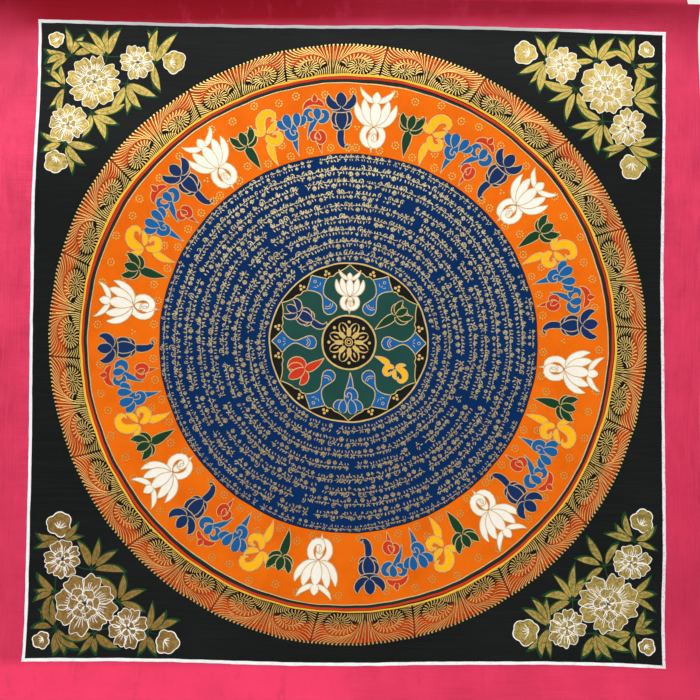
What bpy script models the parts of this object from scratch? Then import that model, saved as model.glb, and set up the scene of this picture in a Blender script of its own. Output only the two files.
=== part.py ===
"""A square painting on primed cotton canvas, hung by its top edge.

The painted square, the plain margin round it and the cut edges are one sheet of cloth, so the
object is one closed sheet.  It hangs in the X-Z plane with its painted face towards -Y.  The
origin is at the middle of the top edge, where it is held.  Sizes are in metres, angles in
degrees, and heights run down from the origin as negative z.
"""
from collections import namedtuple

import bpy
import numpy as np

# --- Driving dimensions ---------------------------------------------------------------------
THICKNESS = 0.0012            # primed and painted cotton
CURL_REACH = 0.034            # top strip that still curls forward from being rolled up
CURL_RISE = 0.0095            # how far the top edge comes forward
CURL_BEND = 0.008             # how gently the curl runs out at its lower side
LIP_REACH = 0.0045            # last few millimetres of the curl, bent back up
LIP_DROP = 0.0034
LIP_BEND = 0.0014
FLARE_REACH = 0.085           # bottom strip that comes forward
FLARE_RISE = 0.0085
FLARE_BEND = 0.020

# Corners of the cut cloth, seen from the front
Corner = namedtuple("Corner", "x z")
TOP_LEFT = Corner(-0.2805, 0.0006)
TOP_RIGHT = Corner(0.2805, -0.0006)
BOTTOM_RIGHT = Corner(0.2835, -0.5660)
BOTTOM_LEFT = Corner(-0.2830, -0.5640)

# Outward bow of each hand-cut side at its middle
Bow = namedtuple("Bow", "left right top bottom")
BOW = Bow(left=0.0010, right=0.0045, top=0.0, bottom=0.0012)

# The top right corner is nipped: a short stretch of the top edge is cut lower
NIP_WIDTH = 0.0110
NIP_DEPTH = 0.0044
NIP_STEP = 0.0010             # width of the slanting cut at its inner end

# Soft folds left in the cloth: the middle of each, the direction it runs in from +X, its half
# width and half length, and how far it stands forward, or back where it is negative
Fold = namedtuple("Fold", "x z turn half_width half_length rise")
FOLDS = (
    Fold(-0.290, -0.150, 4.0, 0.062, 0.150, 0.0085),      # shoulder under the left of the curl
    Fold(0.280, -0.140, -6.0, 0.075, 0.130, 0.0045),      # its lower twin on the right
    Fold(0.060, -0.065, -9.0, 0.040, 0.190, 0.0022),      # slanting ripple over the top
    Fold(0.020, -0.300, 8.0, 0.190, 0.260, -0.0045),      # broad hollow of the middle
    Fold(-0.275, -0.360, 18.0, 0.070, 0.110, -0.0032),    # hollow of the left edge
    Fold(0.285, -0.330, 12.0, 0.060, 0.090, -0.0030),     # hollow of the right edge
    Fold(0.275, -0.450, -20.0, 0.050, 0.090, 0.0034),     # lift low on the right edge
    Fold(-0.060, -0.455, 76.0, 0.055, 0.170, 0.0020),     # upright ripple below the middle
    Fold(0.270, -0.560, 40.0, 0.050, 0.070, 0.0050),      # bottom right corner
    Fold(-0.270, -0.545, -35.0, 0.045, 0.080, 0.0030),    # bottom left corner
)

# --- Mesh steps -----------------------------------------------------------------------------
COLUMNS = 37
LIP_ROWS = 2
CURL_ROWS = 6
BODY_ROWS = 22
FLARE_ROWS = 6

CRIMSON = (0.62, 0.045, 0.12, 1.0)


def clear_scene():
    """Remove every object, so that only this model is built."""
    for old in list(bpy.data.objects):
        bpy.data.objects.remove(old, do_unlink=True)


def outline_point(across, down):
    """Place on the cut cloth of across and down, each 0 to 1: the corners blended, and bowed."""
    x_top = TOP_LEFT.x + (TOP_RIGHT.x - TOP_LEFT.x) * across
    x_bottom = BOTTOM_LEFT.x + (BOTTOM_RIGHT.x - BOTTOM_LEFT.x) * across
    z_left = TOP_LEFT.z + (BOTTOM_LEFT.z - TOP_LEFT.z) * down
    z_right = TOP_RIGHT.z + (BOTTOM_RIGHT.z - TOP_RIGHT.z) * down
    side_bow = (BOW.right * across - BOW.left * (1.0 - across)) * np.sin(np.pi * down)
    end_bow = (BOW.top * (1.0 - down) - BOW.bottom * down) * np.sin(np.pi * across)
    nip_start = 1.0 - NIP_WIDTH / (TOP_RIGHT.x - TOP_LEFT.x)
    nip = np.clip((across - nip_start) * (TOP_RIGHT.x - TOP_LEFT.x) / NIP_STEP, 0.0, 1.0)
    x = x_top + (x_bottom - x_top) * down + side_bow
    z = z_left + (z_right - z_left) * across + end_bow - NIP_DEPTH * nip * (1.0 - down)
    return x, z


def ramp(distance, bend):
    """The distance where it is well above zero and nothing below, with a soft bend between."""
    return 0.5 * (distance + np.sqrt(distance * distance + bend * bend))


def forward(x, z):
    """How far the cloth stands forward at x, z: the curl, its lip, the flare and the folds."""
    curl = ramp(z + CURL_REACH, CURL_BEND) / CURL_REACH
    lip = ramp(z + LIP_REACH, LIP_BEND) / LIP_REACH
    flare = ramp(BOTTOM_LEFT.z + FLARE_REACH - z, FLARE_BEND) / FLARE_REACH
    total = CURL_RISE * curl ** 2 - LIP_DROP * lip + FLARE_RISE * flare ** 2
    for fold in FOLDS:
        turn = np.radians(fold.turn)
        along = ((x - fold.x) * np.cos(turn) + (z - fold.z) * np.sin(turn)) / fold.half_length
        aside = ((z - fold.z) * np.cos(turn) - (x - fold.x) * np.sin(turn)) / fold.half_width
        total = total + fold.rise * np.exp(-along * along - aside * aside)
    return total


def cloth_point(x, z):
    """Middle of the cloth's thickness at x, z; the middle of the top edge is the origin."""
    return np.stack([x, forward(0.0, 0.0) - forward(x, z), z], axis=-1)


def front_normal(x, z, step=0.0005):
    """Unit normal of the painted face, from the slopes of the cloth."""
    slope_x = (forward(x + step, z) - forward(x - step, z)) / (2.0 * step)
    slope_z = (forward(x, z + step) - forward(x, z - step)) / (2.0 * step)
    normal = np.stack([-slope_x, -np.ones_like(slope_x), -slope_z], axis=-1)
    return normal / np.linalg.norm(normal, axis=-1, keepdims=True)


def row_heights():
    """Rows down the cloth, 0 to 1, closer together in the lip, the curl and the flare."""
    height = TOP_LEFT.z - BOTTOM_LEFT.z
    lip = np.linspace(0.0, LIP_REACH, LIP_ROWS, endpoint=False)
    curl = np.linspace(LIP_REACH, CURL_REACH, CURL_ROWS, endpoint=False)
    body = np.linspace(CURL_REACH, height - FLARE_REACH, BODY_ROWS, endpoint=False)
    flare = np.linspace(height - FLARE_REACH, height, FLARE_ROWS + 1)
    return np.concatenate([lip, curl, body, flare]) / height


def column_places():
    """Columns across the cloth, 0 to 1, evenly spaced up to the nipped corner."""
    width = TOP_RIGHT.x - TOP_LEFT.x
    even = np.linspace(0.0, 1.0 - NIP_WIDTH / width, COLUMNS + 1)
    return np.concatenate([even, [1.0 - (NIP_WIDTH - NIP_STEP) / width, 1.0]])


def sheet_faces(rows, columns):
    """Triangles of the closed sheet: the painted face, the back and the four cut edges."""
    front = np.arange(rows * columns).reshape(rows, columns)
    back = front + rows * columns

    def both_triangles(a, b, c, d):
        quads = np.stack([a.ravel(), b.ravel(), c.ravel(), d.ravel()], axis=-1)
        return np.concatenate([quads[:, [0, 1, 2]], quads[:, [0, 2, 3]]])

    parts = [
        both_triangles(front[:-1, :-1], front[1:, :-1], front[1:, 1:], front[:-1, 1:]),
        both_triangles(back[:-1, :-1], back[:-1, 1:], back[1:, 1:], back[1:, :-1]),
    ]
    rim = np.concatenate([front[0, :-1], front[:-1, -1], front[-1, :0:-1], front[:0:-1, 0]])
    following = np.roll(rim, -1)
    shift = rows * columns
    parts.append(both_triangles(rim, following, following + shift, rim + shift))
    return np.concatenate(parts)


def canvas_material():
    """Crimson painted cotton, the colour of the margin."""
    material = bpy.data.materials.new("crimson_painted_cotton")
    material.use_nodes = True
    shader = material.node_tree.nodes["Principled BSDF"]
    shader.inputs["Base Color"].default_value = CRIMSON
    shader.inputs["Roughness"].default_value = 0.62
    shader.inputs["Metallic"].default_value = 0.0
    return material


def build_painted_canvas():
    """The whole hanging: one wavy sheet with a painted face, a back and cut edges."""
    down = row_heights()
    across = column_places()
    across_grid, down_grid = np.meshgrid(across, down)
    x, z = outline_point(across_grid, down_grid)
    middle = cloth_point(x, z)
    offset = 0.5 * THICKNESS * front_normal(x, z)
    points = np.concatenate([(middle + offset).reshape(-1, 3), (middle - offset).reshape(-1, 3)])
    mesh = bpy.data.meshes.new("painted_canvas")
    mesh.from_pydata(points.tolist(), [], sheet_faces(len(down), len(across)).tolist())
    mesh.materials.append(canvas_material())
    mesh.shade_smooth()
    mesh.set_sharp_from_angle(angle=np.radians(50.0))
    mesh.validate()
    canvas = bpy.data.objects.new("painted_canvas", mesh)
    bpy.context.scene.collection.objects.link(canvas)
    return canvas


clear_scene()
build_painted_canvas()
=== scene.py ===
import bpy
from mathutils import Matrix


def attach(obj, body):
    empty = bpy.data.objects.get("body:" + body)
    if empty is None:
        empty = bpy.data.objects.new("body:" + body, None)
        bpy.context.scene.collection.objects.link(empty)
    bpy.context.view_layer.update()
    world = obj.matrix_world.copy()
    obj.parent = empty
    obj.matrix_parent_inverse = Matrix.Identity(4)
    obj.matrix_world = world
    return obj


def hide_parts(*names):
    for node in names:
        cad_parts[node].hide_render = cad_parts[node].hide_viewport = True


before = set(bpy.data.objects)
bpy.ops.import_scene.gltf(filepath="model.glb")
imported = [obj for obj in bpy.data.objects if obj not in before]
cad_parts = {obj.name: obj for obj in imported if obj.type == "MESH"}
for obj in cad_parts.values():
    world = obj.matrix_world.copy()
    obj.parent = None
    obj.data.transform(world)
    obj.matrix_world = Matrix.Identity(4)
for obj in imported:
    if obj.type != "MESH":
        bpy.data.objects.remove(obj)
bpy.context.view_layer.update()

"""Looks of a mandala painting on cotton canvas, hung by its top edge.

The cloth is one thin sheet on the folds of its solid.  Every coat of paint is a thin skin laid on
it: flat shapes are worked out in millimetres across the cloth (x to the right, z up from the
middle of the top edge) and then lifted off its surface by the height of the paint.
"""
from collections import namedtuple

import bpy
import numpy as np
from mathutils import Matrix, Vector

MM = 0.001

# --- The cloth ------------------------------------------------------------------------------
# The same sizes as the solid's, in metres
THICKNESS = 0.0012
CURL_REACH = 0.034
CURL_RISE = 0.0095
CURL_BEND = 0.008
LIP_REACH = 0.0045
LIP_DROP = 0.0034
LIP_BEND = 0.0014
FLARE_REACH = 0.085
FLARE_RISE = 0.0085
FLARE_BEND = 0.020

Corner = namedtuple("Corner", "x z")
TOP_LEFT = Corner(-0.2805, 0.0006)
TOP_RIGHT = Corner(0.2805, -0.0006)
BOTTOM_RIGHT = Corner(0.2835, -0.5660)
BOTTOM_LEFT = Corner(-0.2830, -0.5640)
Bow = namedtuple("Bow", "left right top bottom")
BOW = Bow(left=0.0010, right=0.0045, top=0.0, bottom=0.0012)
NIP_WIDTH = 0.0110
NIP_DEPTH = 0.0044
NIP_STEP = 0.0010

Fold = namedtuple("Fold", "x z turn half_width half_length rise")
FOLDS = (
    Fold(-0.290, -0.150, 4.0, 0.062, 0.150, 0.0085),
    Fold(0.280, -0.140, -6.0, 0.075, 0.130, 0.0045),
    Fold(0.060, -0.065, -9.0, 0.040, 0.190, 0.0022),
    Fold(0.020, -0.300, 8.0, 0.190, 0.260, -0.0045),
    Fold(-0.275, -0.360, 18.0, 0.070, 0.110, -0.0032),
    Fold(0.285, -0.330, 12.0, 0.060, 0.090, -0.0030),
    Fold(0.275, -0.450, -20.0, 0.050, 0.090, 0.0034),
    Fold(-0.060, -0.455, 76.0, 0.055, 0.170, 0.0020),
    Fold(0.270, -0.560, 40.0, 0.050, 0.070, 0.0050),
    Fold(-0.270, -0.545, -35.0, 0.045, 0.080, 0.0030),
)

# Creases pressed into the cloth, finer than the solid's folds: a trough where rise is negative
CREASES = (
    Fold(-0.268, -0.075, 8.0, 0.0060, 0.020, -0.00035),
    Fold(-0.262, -0.105, -12.0, 0.0050, 0.016, 0.00025),
    Fold(0.268, -0.118, 80.0, 0.0055, 0.030, -0.00030),
    Fold(0.272, -0.305, 96.0, 0.0060, 0.040, 0.00030),
    Fold(-0.270, -0.330, 84.0, 0.0070, 0.050, -0.00030),
    Fold(-0.215, -0.549, 12.0, 0.0045, 0.022, -0.00040),
    Fold(-0.180, -0.544, -24.0, 0.0040, 0.014, 0.00035),
    Fold(-0.120, -0.552, 6.0, 0.0050, 0.020, -0.00025),
    Fold(0.030, -0.548, -8.0, 0.0060, 0.030, 0.00025),
    Fold(0.150, -0.551, 14.0, 0.0055, 0.024, -0.00030),
    Fold(0.266, -0.505, 62.0, 0.0050, 0.018, -0.00035),
)


def outline_point(across, down):
    """Place on the cut cloth of across and down, each 0 to 1: the corners blended, and bowed."""
    x_top = TOP_LEFT.x + (TOP_RIGHT.x - TOP_LEFT.x) * across
    x_bottom = BOTTOM_LEFT.x + (BOTTOM_RIGHT.x - BOTTOM_LEFT.x) * across
    z_left = TOP_LEFT.z + (BOTTOM_LEFT.z - TOP_LEFT.z) * down
    z_right = TOP_RIGHT.z + (BOTTOM_RIGHT.z - TOP_RIGHT.z) * down
    side_bow = (BOW.right * across - BOW.left * (1.0 - across)) * np.sin(np.pi * down)
    end_bow = (BOW.top * (1.0 - down) - BOW.bottom * down) * np.sin(np.pi * across)
    nip_start = 1.0 - NIP_WIDTH / (TOP_RIGHT.x - TOP_LEFT.x)
    nip = np.clip((across - nip_start) * (TOP_RIGHT.x - TOP_LEFT.x) / NIP_STEP, 0.0, 1.0)
    x = x_top + (x_bottom - x_top) * down + side_bow
    z = z_left + (z_right - z_left) * across + end_bow - NIP_DEPTH * nip * (1.0 - down)
    return x, z


def ramp(distance, bend):
    """The distance where it is well above zero and nothing below, with a soft bend between."""
    return 0.5 * (distance + np.sqrt(distance * distance + bend * bend))


def forward(x, z):
    """How far the cloth stands forward at x, z: curl, lip and flare, then bell-shaped folds."""
    curl = ramp(z + CURL_REACH, CURL_BEND) / CURL_REACH
    lip = ramp(z + LIP_REACH, LIP_BEND) / LIP_REACH
    flare = ramp(BOTTOM_LEFT.z + FLARE_REACH - z, FLARE_BEND) / FLARE_REACH
    total = CURL_RISE * curl ** 2 - LIP_DROP * lip + FLARE_RISE * flare ** 2
    for fold in FOLDS + CREASES:
        turn = np.radians(fold.turn)
        along = ((x - fold.x) * np.cos(turn) + (z - fold.z) * np.sin(turn)) / fold.half_length
        aside = ((z - fold.z) * np.cos(turn) - (x - fold.x) * np.sin(turn)) / fold.half_width
        total = total + fold.rise * np.exp(-along * along - aside * aside)
    return total


def cloth_normal(x, z, step=0.0005):
    """Unit normal of the painted face, from the slopes of the cloth."""
    slope_x = (forward(x + step, z) - forward(x - step, z)) / (2.0 * step)
    slope_z = (forward(x, z + step) - forward(x, z - step)) / (2.0 * step)
    normal = np.stack([-slope_x, -np.ones_like(slope_x), -slope_z], axis=-1)
    return normal / np.linalg.norm(normal, axis=-1, keepdims=True)


def cloth_point(x, z, lift):
    """Point at x, z, lifted off the middle of the cloth's thickness along its normal."""
    middle = np.stack([x, forward(0.0, 0.0) - forward(x, z), z], axis=-1)
    return middle + cloth_normal(x, z) * np.broadcast_to(lift, x.shape)[..., None]


# --- Meshes ---------------------------------------------------------------------------------
def new_piece(name, points, faces, materials, face_materials=None):
    """A smooth mesh piece on the one body, with its place in its mesh."""
    mesh = bpy.data.meshes.new(name)
    mesh.vertices.add(len(points))
    mesh.vertices.foreach_set("co", np.ascontiguousarray(points, dtype=np.float32).ravel())
    corners = faces.shape[1]
    mesh.loops.add(faces.size)
    mesh.loops.foreach_set("vertex_index", np.ascontiguousarray(faces, dtype=np.int32).ravel())
    mesh.polygons.add(len(faces))
    mesh.polygons.foreach_set("loop_start", np.arange(0, faces.size, corners, dtype=np.int32))
    for material in materials:
        mesh.materials.append(material)
    if face_materials is not None:
        mesh.polygons.foreach_set("material_index", face_materials.astype(np.int32))
    mesh.update(calc_edges=True)
    mesh.validate()
    mesh.shade_smooth()
    piece = bpy.data.objects.new(name, mesh)
    bpy.context.scene.collection.objects.link(piece)
    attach(piece, "root")
    return piece


def grid_triangles(rows, columns):
    """Both triangles of each cell of one grid of points."""
    index = np.arange(rows * columns).reshape(rows, columns)
    cell = np.stack([index[:-1, :-1], index[:-1, 1:], index[1:, 1:], index[1:, :-1]], axis=-1)
    cell = cell.reshape(-1, 4)
    return np.concatenate([cell[:, [0, 1, 2]], cell[:, [0, 2, 3]]])


# Unsteadiness of the hand: every painted shape is shifted by slow waves this far, in mm
HAND_SHIFT = 0.22
HAND_WAVE = 17.0


def by_hand(flat, shake=1.0):
    """Shifts flat points by two slow waves, so that no drawn line is quite true."""
    x, z = flat[..., 0] / HAND_WAVE, flat[..., 1] / HAND_WAVE
    shift_x = np.sin(2.1 * z + 1.3 * np.sin(0.9 * x)) + 0.6 * np.sin(4.7 * z - 3.1 * x + 0.4)
    shift_z = np.sin(1.9 * x + 1.1 * np.sin(1.2 * z) + 2.0) + 0.6 * np.sin(5.1 * x + 2.7 * z)
    return flat + shake * HAND_SHIFT * np.stack([shift_x, shift_z], axis=-1)


class Paint:
    """Painted shapes gathered for one piece: flat points in mm, heights in mm, and triangles."""

    pieces = []

    def __init__(self):
        self.flat, self.height, self.faces, self.count = [], [], [], 0

    def add(self, flat, height, faces):
        """Adds points and faces, each face turned so that it looks out of the painted side."""
        corner = flat[faces]
        first, second = corner[:, 1] - corner[:, 0], corner[:, 2] - corner[:, 0]
        inward = first[:, 0] * second[:, 1] - first[:, 1] * second[:, 0] < 0.0
        self.faces.append(np.where(inward[:, None], faces[:, ::-1], faces) + self.count)
        self.flat.append(flat)
        self.height.append(height)
        self.count += len(flat)

    def copies(self, flat, height, faces):
        """Adds many shapes (shape, points, 2) that all have the same faces."""
        shift = (np.arange(len(flat)) * flat.shape[1])[:, None, None]
        self.add(flat.reshape(-1, 2), height.ravel(), (faces[None] + shift).reshape(-1, 3))

    def grids(self, flat, height):
        """Adds grids of points shaped (..., rows, columns, 2), with a height for each point."""
        rows, columns = flat.shape[-3:-1]
        height = np.broadcast_to(height, flat.shape[:-1])
        self.copies(flat.reshape(-1, rows * columns, 2), height, grid_triangles(rows, columns))

    def strokes(self, path, width, base, rise, columns=3):
        """Adds brush lines: paths (..., steps, 2) with a width and a base, crowned by rise."""
        along = np.gradient(path, axis=-2)
        along = along / np.maximum(np.linalg.norm(along, axis=-1, keepdims=True), 1e-9)
        side = np.stack([-along[..., 1], along[..., 0]], axis=-1)
        across = np.linspace(-0.5, 0.5, columns)
        reach = (np.broadcast_to(width, path.shape[:-1])[..., None] * across)[..., None]
        flat = path[..., None, :] + side[..., None, :] * reach
        base = np.broadcast_to(base, path.shape[:-1])[..., None]
        self.grids(flat, base + rise * (1.0 - 4.0 * across ** 2))

    def dots(self, centres, radius, base, rise, sides):
        """Adds low round domes at centres (..., 2)."""
        centres = centres.reshape(-1, 1, 2)
        corner = np.arange(sides)
        rim = centres + radius * unit(corner * 2.0 * np.pi / sides)
        flat = np.concatenate([centres, rim], axis=1)
        height = np.full(flat.shape[:-1], base)
        height[:, 0] += rise
        faces = np.stack([np.zeros_like(corner), corner + 1, (corner + 1) % sides + 1], axis=-1)
        self.copies(flat, height, faces)

    def piece(self, name, material, slot, shake=1.0):
        """Lays the shapes on the cloth, with the hand's unsteadiness, as one piece."""
        flat = by_hand(np.concatenate(self.flat), shake) * MM
        lift = 0.5 * THICKNESS + np.concatenate(self.height) * MM
        points = cloth_point(flat[:, 0], flat[:, 1], lift)
        self.pieces.append(new_piece(name, points, np.concatenate(self.faces), [material]))


# Heights of the coats over the bare cloth, in mm
GROUND_COAT = 0.06
BAND_COAT = 0.12
LINE_COAT = 0.17
MOTIF_COAT = 0.19
BUD_COAT = 0.10               # buds lie under the leaves at their foot
ORDER_STEP = 0.010            # each shape of a motif lies this much over the one before
STROKE_RISE = 0.10            # raised middle of a loaded brush line


# --- Shapes of the brush --------------------------------------------------------------------
# A leaf starts at x, y, sets off at its heading and turns by bend, and by curl towards its tip.
# Its width is greatest at peak, 0 to 1 along it; sharp 1 is round like an egg, 2 is pointed.
Leaf = namedtuple("Leaf", "x y heading length width bend curl peak sharp")


def pair(x, y, heading, length, width, bend, curl, peak, sharp):
    """A leaf and its mirror image on the other side of the upright."""
    leaf = Leaf(x, y, heading, length, width, bend, curl, peak, sharp)
    return leaf, leaf._replace(x=-x, heading=180 - heading, bend=-bend, curl=-curl)


def leaf_lines(leaves, steps=14):
    """Middle lines, side directions and half widths of a table of leaves.

    The heading at t along a leaf is heading + bend * t + curl * t cubed, summed up into its line;
    its half width is (t / peak) ** (peak * sharp) * ((1 - t) / (1 - peak)) ** ((1 - peak) * sharp).
    """
    table = np.array(leaves, dtype=float)
    x, y, heading, length, width, bend, curl, peak, sharp = [table[:, [i]] for i in range(9)]
    along = np.linspace(0.0, 1.0, steps)[None]
    middle = 0.5 * (along[:, 1:] + along[:, :-1])
    course = np.radians(heading + bend * middle + curl * middle ** 3)
    stride = length / (steps - 1)
    zero = np.zeros_like(x)
    line_x = x + np.concatenate([zero, np.cumsum(np.cos(course) * stride, axis=1)], axis=1)
    line_y = y + np.concatenate([zero, np.cumsum(np.sin(course) * stride, axis=1)], axis=1)
    angle = np.radians(heading + bend * along + curl * along ** 3)
    side = np.stack([-np.sin(angle), np.cos(angle)], axis=-1)
    inside = np.clip(along, 0.004, 0.996)
    rising = (inside / peak) ** (peak * sharp)
    falling = ((1.0 - inside) / (1.0 - peak)) ** ((1.0 - peak) * sharp)
    return np.stack([line_x, line_y], axis=-1), side, 0.5 * width * rising * falling


def leaf_fills(leaves, steps=14):
    """Filled leaves as grids (leaf, steps, 3, 2)."""
    line, side, half = leaf_lines(leaves, steps)
    across = np.array([-1.0, 0.0, 1.0])
    return line[:, :, None] + side[:, :, None] * (half[..., None] * across)[..., None]


def leaf_outlines(leaves, width):
    """Lines round leaves as grids (leaf, 2 sides, steps, 2, 2), each width wide."""
    line, side, half = leaf_lines(leaves)
    inner = np.maximum(half - 0.5 * width, 0.0)
    outer = half + 0.5 * width
    edge = np.stack([inner, outer], axis=-1)
    hands = np.array([-1.0, 1.0])[None, :, None, None, None]
    return line[:, None, :, None] + side[:, None, :, None] * edge[:, None, :, :, None] * hands


def unit(angle):
    """Step of length 1 at an angle in radians, counted anticlockwise from the right."""
    return np.stack([np.cos(angle), np.sin(angle)], axis=-1)


def clock(turn, radius):
    """Step of length radius at a clockwise turn in radians from straight up."""
    return np.stack([np.sin(turn) * radius, np.cos(turn) * radius], axis=-1)


def bezier(start, control, end, steps):
    """Points (..., steps, 2) of curves that leave start towards control and arrive at end."""
    t = np.linspace(0.0, 1.0, steps)[:, None]
    start, control, end = start[..., None, :], control[..., None, :], end[..., None, :]
    return (1.0 - t) ** 2 * start + 2.0 * t * (1.0 - t) * control + t ** 2 * end


def taper(start, end, steps):
    """Widths along a brush line from start to end, drawn in at both tips."""
    t = np.linspace(0.0, 1.0, steps)
    tips = np.clip(np.minimum(t, 1.0 - t) * steps * 0.55 + 0.35, 0.0, 1.0)
    return (start + (end - start) * t) * tips


# --- The mandala's plan, in mm --------------------------------------------------------------
CENTRE = np.array([3.6, -279.1])
DISC = 151.1                  # blue disc
ORANGE = 207.8                # outer edge of the orange ring
FILIGREE_IN = 215.0
FILIGREE_OUT = 237.6
FIGURE_RADIUS = 180.0         # middle of the orange ring
STEADY_RADIUS = 180.0         # circles smaller than this are drawn steadier


def around(turn, radius):
    """Point at a clockwise turn in radians from the top, at a radius from the mandala's centre."""
    return CENTRE + clock(turn, radius)


def on_ring(local, turn, radius):
    """Bends flat shapes round the mandala: x runs clockwise along the ring, y outward."""
    return around(turn + local[..., 0] / radius, radius + local[..., 1])


def placed(local, centre, turn, size=1.0):
    """Flat shapes turned clockwise by turn in radians and set down at a centre."""
    x, y = local[..., 0] * size, local[..., 1] * size
    cos, sin = np.cos(turn), np.sin(turn)
    return centre + np.stack([x * cos + y * sin, y * cos - x * sin], axis=-1)


def annulus(inner, outer, rows, segments=360):
    """Grid of a flat ring; its last column lies on its first."""
    turn = np.linspace(0.0, 2.0 * np.pi, segments + 1)
    return around(*np.meshgrid(turn, np.linspace(inner, outer, rows)))


def ring_line(radius, width, seed, thin_turn=0.0, thin_share=0.0):
    """A hand-drawn circle as a grid of three columns, a little uneven in radius and in width.

    About its turn thin_turn in degrees it is thinner, by thin_share of its width.
    """
    turn = np.linspace(0.0, 2.0 * np.pi, 541)
    sway = 0.30 * np.sin(5 * turn + seed) + 0.18 * np.sin(11 * turn + 2.3 * seed)
    sway = min(1.0, radius / STEADY_RADIUS) * sway
    swell = 1.0 + 0.10 * np.sin(7 * turn + 1.7 * seed) + 0.06 * np.sin(23 * turn + seed)
    swell = swell - thin_share * np.exp(4.0 * (np.cos(turn - np.radians(thin_turn)) - 1.0))
    across = np.array([-0.5, 0.0, 0.5])[:, None]
    return around(turn[None], radius + sway[None] + across * width * swell[None])


# --- Painted square and its white line ------------------------------------------------------
# Where the line runs on the cloth, in mm: the left and right sides by z, the others by x
LEFT_LINE = (
    (-26.3, -246.4), (-123.0, -245.3), (-217.0, -248.2), (-300.0, -248.9), (-410.0, -247.9), (-530.3, -246.6),
)
RIGHT_LINE = (
    (-26.8, 253.8), (-154.0, 252.7), (-217.0, 253.5), (-340.0, 256.7), (-430.0, 255.7), (-530.7, 254.3),
)
TOP_LINE = (
    (-246.4, -26.3), (-90.0, -27.5), (-20.0, -27.0), (70.0, -25.2), (160.0, -25.7), (253.8, -26.8),
)
BOTTOM_LINE = (
    (-246.6, -530.3), (-125.0, -530.3), (-2.0, -532.2), (90.0, -530.6), (195.0, -529.8), (254.3, -530.7),
)
LINE_WIDTH = 2.35
LINE_GRAIN = 0.16             # raggedness of the line's edges
LINE_CROWN = 0.05             # raised middle of a painted line
FIELD = 500.0                 # side of the painted square, to turn mm into shares of it


def read_table(table, place):
    """Reads a table of two columns at places, through a smooth curve between its rows."""
    known, value = np.array(table).T
    order = np.argsort(known)
    known, value = known[order], value[order]
    slope = np.gradient(value, known)
    place = np.clip(place, known[0], known[-1])
    i = np.clip(np.searchsorted(known, place) - 1, 0, len(known) - 2)
    gap = known[i + 1] - known[i]
    t = (place - known[i]) / gap
    rise = value[i + 1] - value[i]
    a, b = slope[i] * gap - rise, rise - slope[i + 1] * gap
    return value[i] + t * rise + t * (1.0 - t) * (a * (1.0 - t) + b * t)


def square_point(across, down):
    """Flat point of the painted square; across and down run 0 to 1 from line to line."""
    x_even = LEFT_LINE[0][1] + (RIGHT_LINE[0][1] - LEFT_LINE[0][1]) * across
    z_even = TOP_LINE[0][1] + (BOTTOM_LINE[0][1] - TOP_LINE[0][1]) * down
    left, right = read_table(LEFT_LINE, z_even), read_table(RIGHT_LINE, z_even)
    top, bottom = read_table(TOP_LINE, x_even), read_table(BOTTOM_LINE, x_even)
    return np.stack([left + (right - left) * across, top + (bottom - top) * down], axis=-1)


def paint_square(ground_look, line_look):
    """The black ground, and the white line round it with mitred corners."""
    even = np.linspace(0.0, 1.0, 111)
    ground = Paint()
    ground.grids(square_point(*np.meshgrid(even, even)), GROUND_COAT)
    ground.piece("black_ground", ground_look, "black_ground")

    line = Paint()
    steps = 161
    along = np.linspace(0.0, 1.0, steps)
    wander = np.random.default_rng(5)
    for side in range(4):
        grain = wander.normal(size=(2, steps))
        grain = (grain + np.roll(grain, 1, axis=1) + np.roll(grain, -1, axis=1)) / 3.0
        half = 0.5 * LINE_WIDTH + LINE_GRAIN * grain
        reach = np.stack([-half[0], np.zeros(steps), half[1]], axis=-1) / FIELD
        run = -reach + along[:, None] * (1.0 + 2.0 * reach)
        edge = -reach if side in (0, 2) else 1.0 + reach
        flat = square_point(edge, run) if side < 2 else square_point(run, edge)
        line.grids(flat, LINE_COAT + np.array([0.0, LINE_CROWN, 0.0]))
    line.piece("white_frame_line", line_look, "bright_paint", shake=0.25)


# --- Filigree ring --------------------------------------------------------------------------
PLUMES = 18
PLUME_SHIFT = 3.4             # degrees that the first plume stands left of the top
HALF_CELL = np.pi * (FILIGREE_IN + FILIGREE_OUT) / 2.0 / PLUMES
CELL_HEIGHT = FILIGREE_OUT - FILIGREE_IN
KNOBS = 13                    # knobs on the rim of half a cell
KNOB_PITCH = HALF_CELL / KNOBS
DIVIDER_FOOT = 8.5            # where a divider stops, above the ring's inner edge
KNOB = 0.82                   # radius of a knob on the rim
LEAN = 0.15                   # how far a cell's foot stands left of its rim, for each mm of height
SHELL_X = 20.5                # middle of the shell, from the plume
SHELL_Y = 6.8                 # and above the ring's inner edge
SHELL_WIDE = 14.6
SHELL_HIGH = 10.6
SHELL_START = np.radians(197.0)
SHELL_REACH = 1.04            # where the winding line starts, as a share of the shell's sizes
SHELL_LOSS = 0.42             # how much it draws in with each turn
SHELL_RIBS = 34               # ribs inside a shell
OFF_SHELL = 21                # strokes that leave the shell
TO_RIM = 11                   # as many of them end on the rim, the others on the divider


def shell_point(turns, stretch=1.0, lean=0.0):
    """Point of the shell's winding line after some clockwise turns, pushed out by stretch."""
    share = np.maximum(SHELL_REACH - SHELL_LOSS * turns, 0.05) * stretch
    angle = SHELL_START - 2.0 * np.pi * turns - lean
    x = SHELL_X + share * SHELL_WIDE * np.cos(angle)
    y = SHELL_Y + share * SHELL_HIGH * np.sin(angle)
    return np.stack([x, y], axis=-1)


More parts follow.
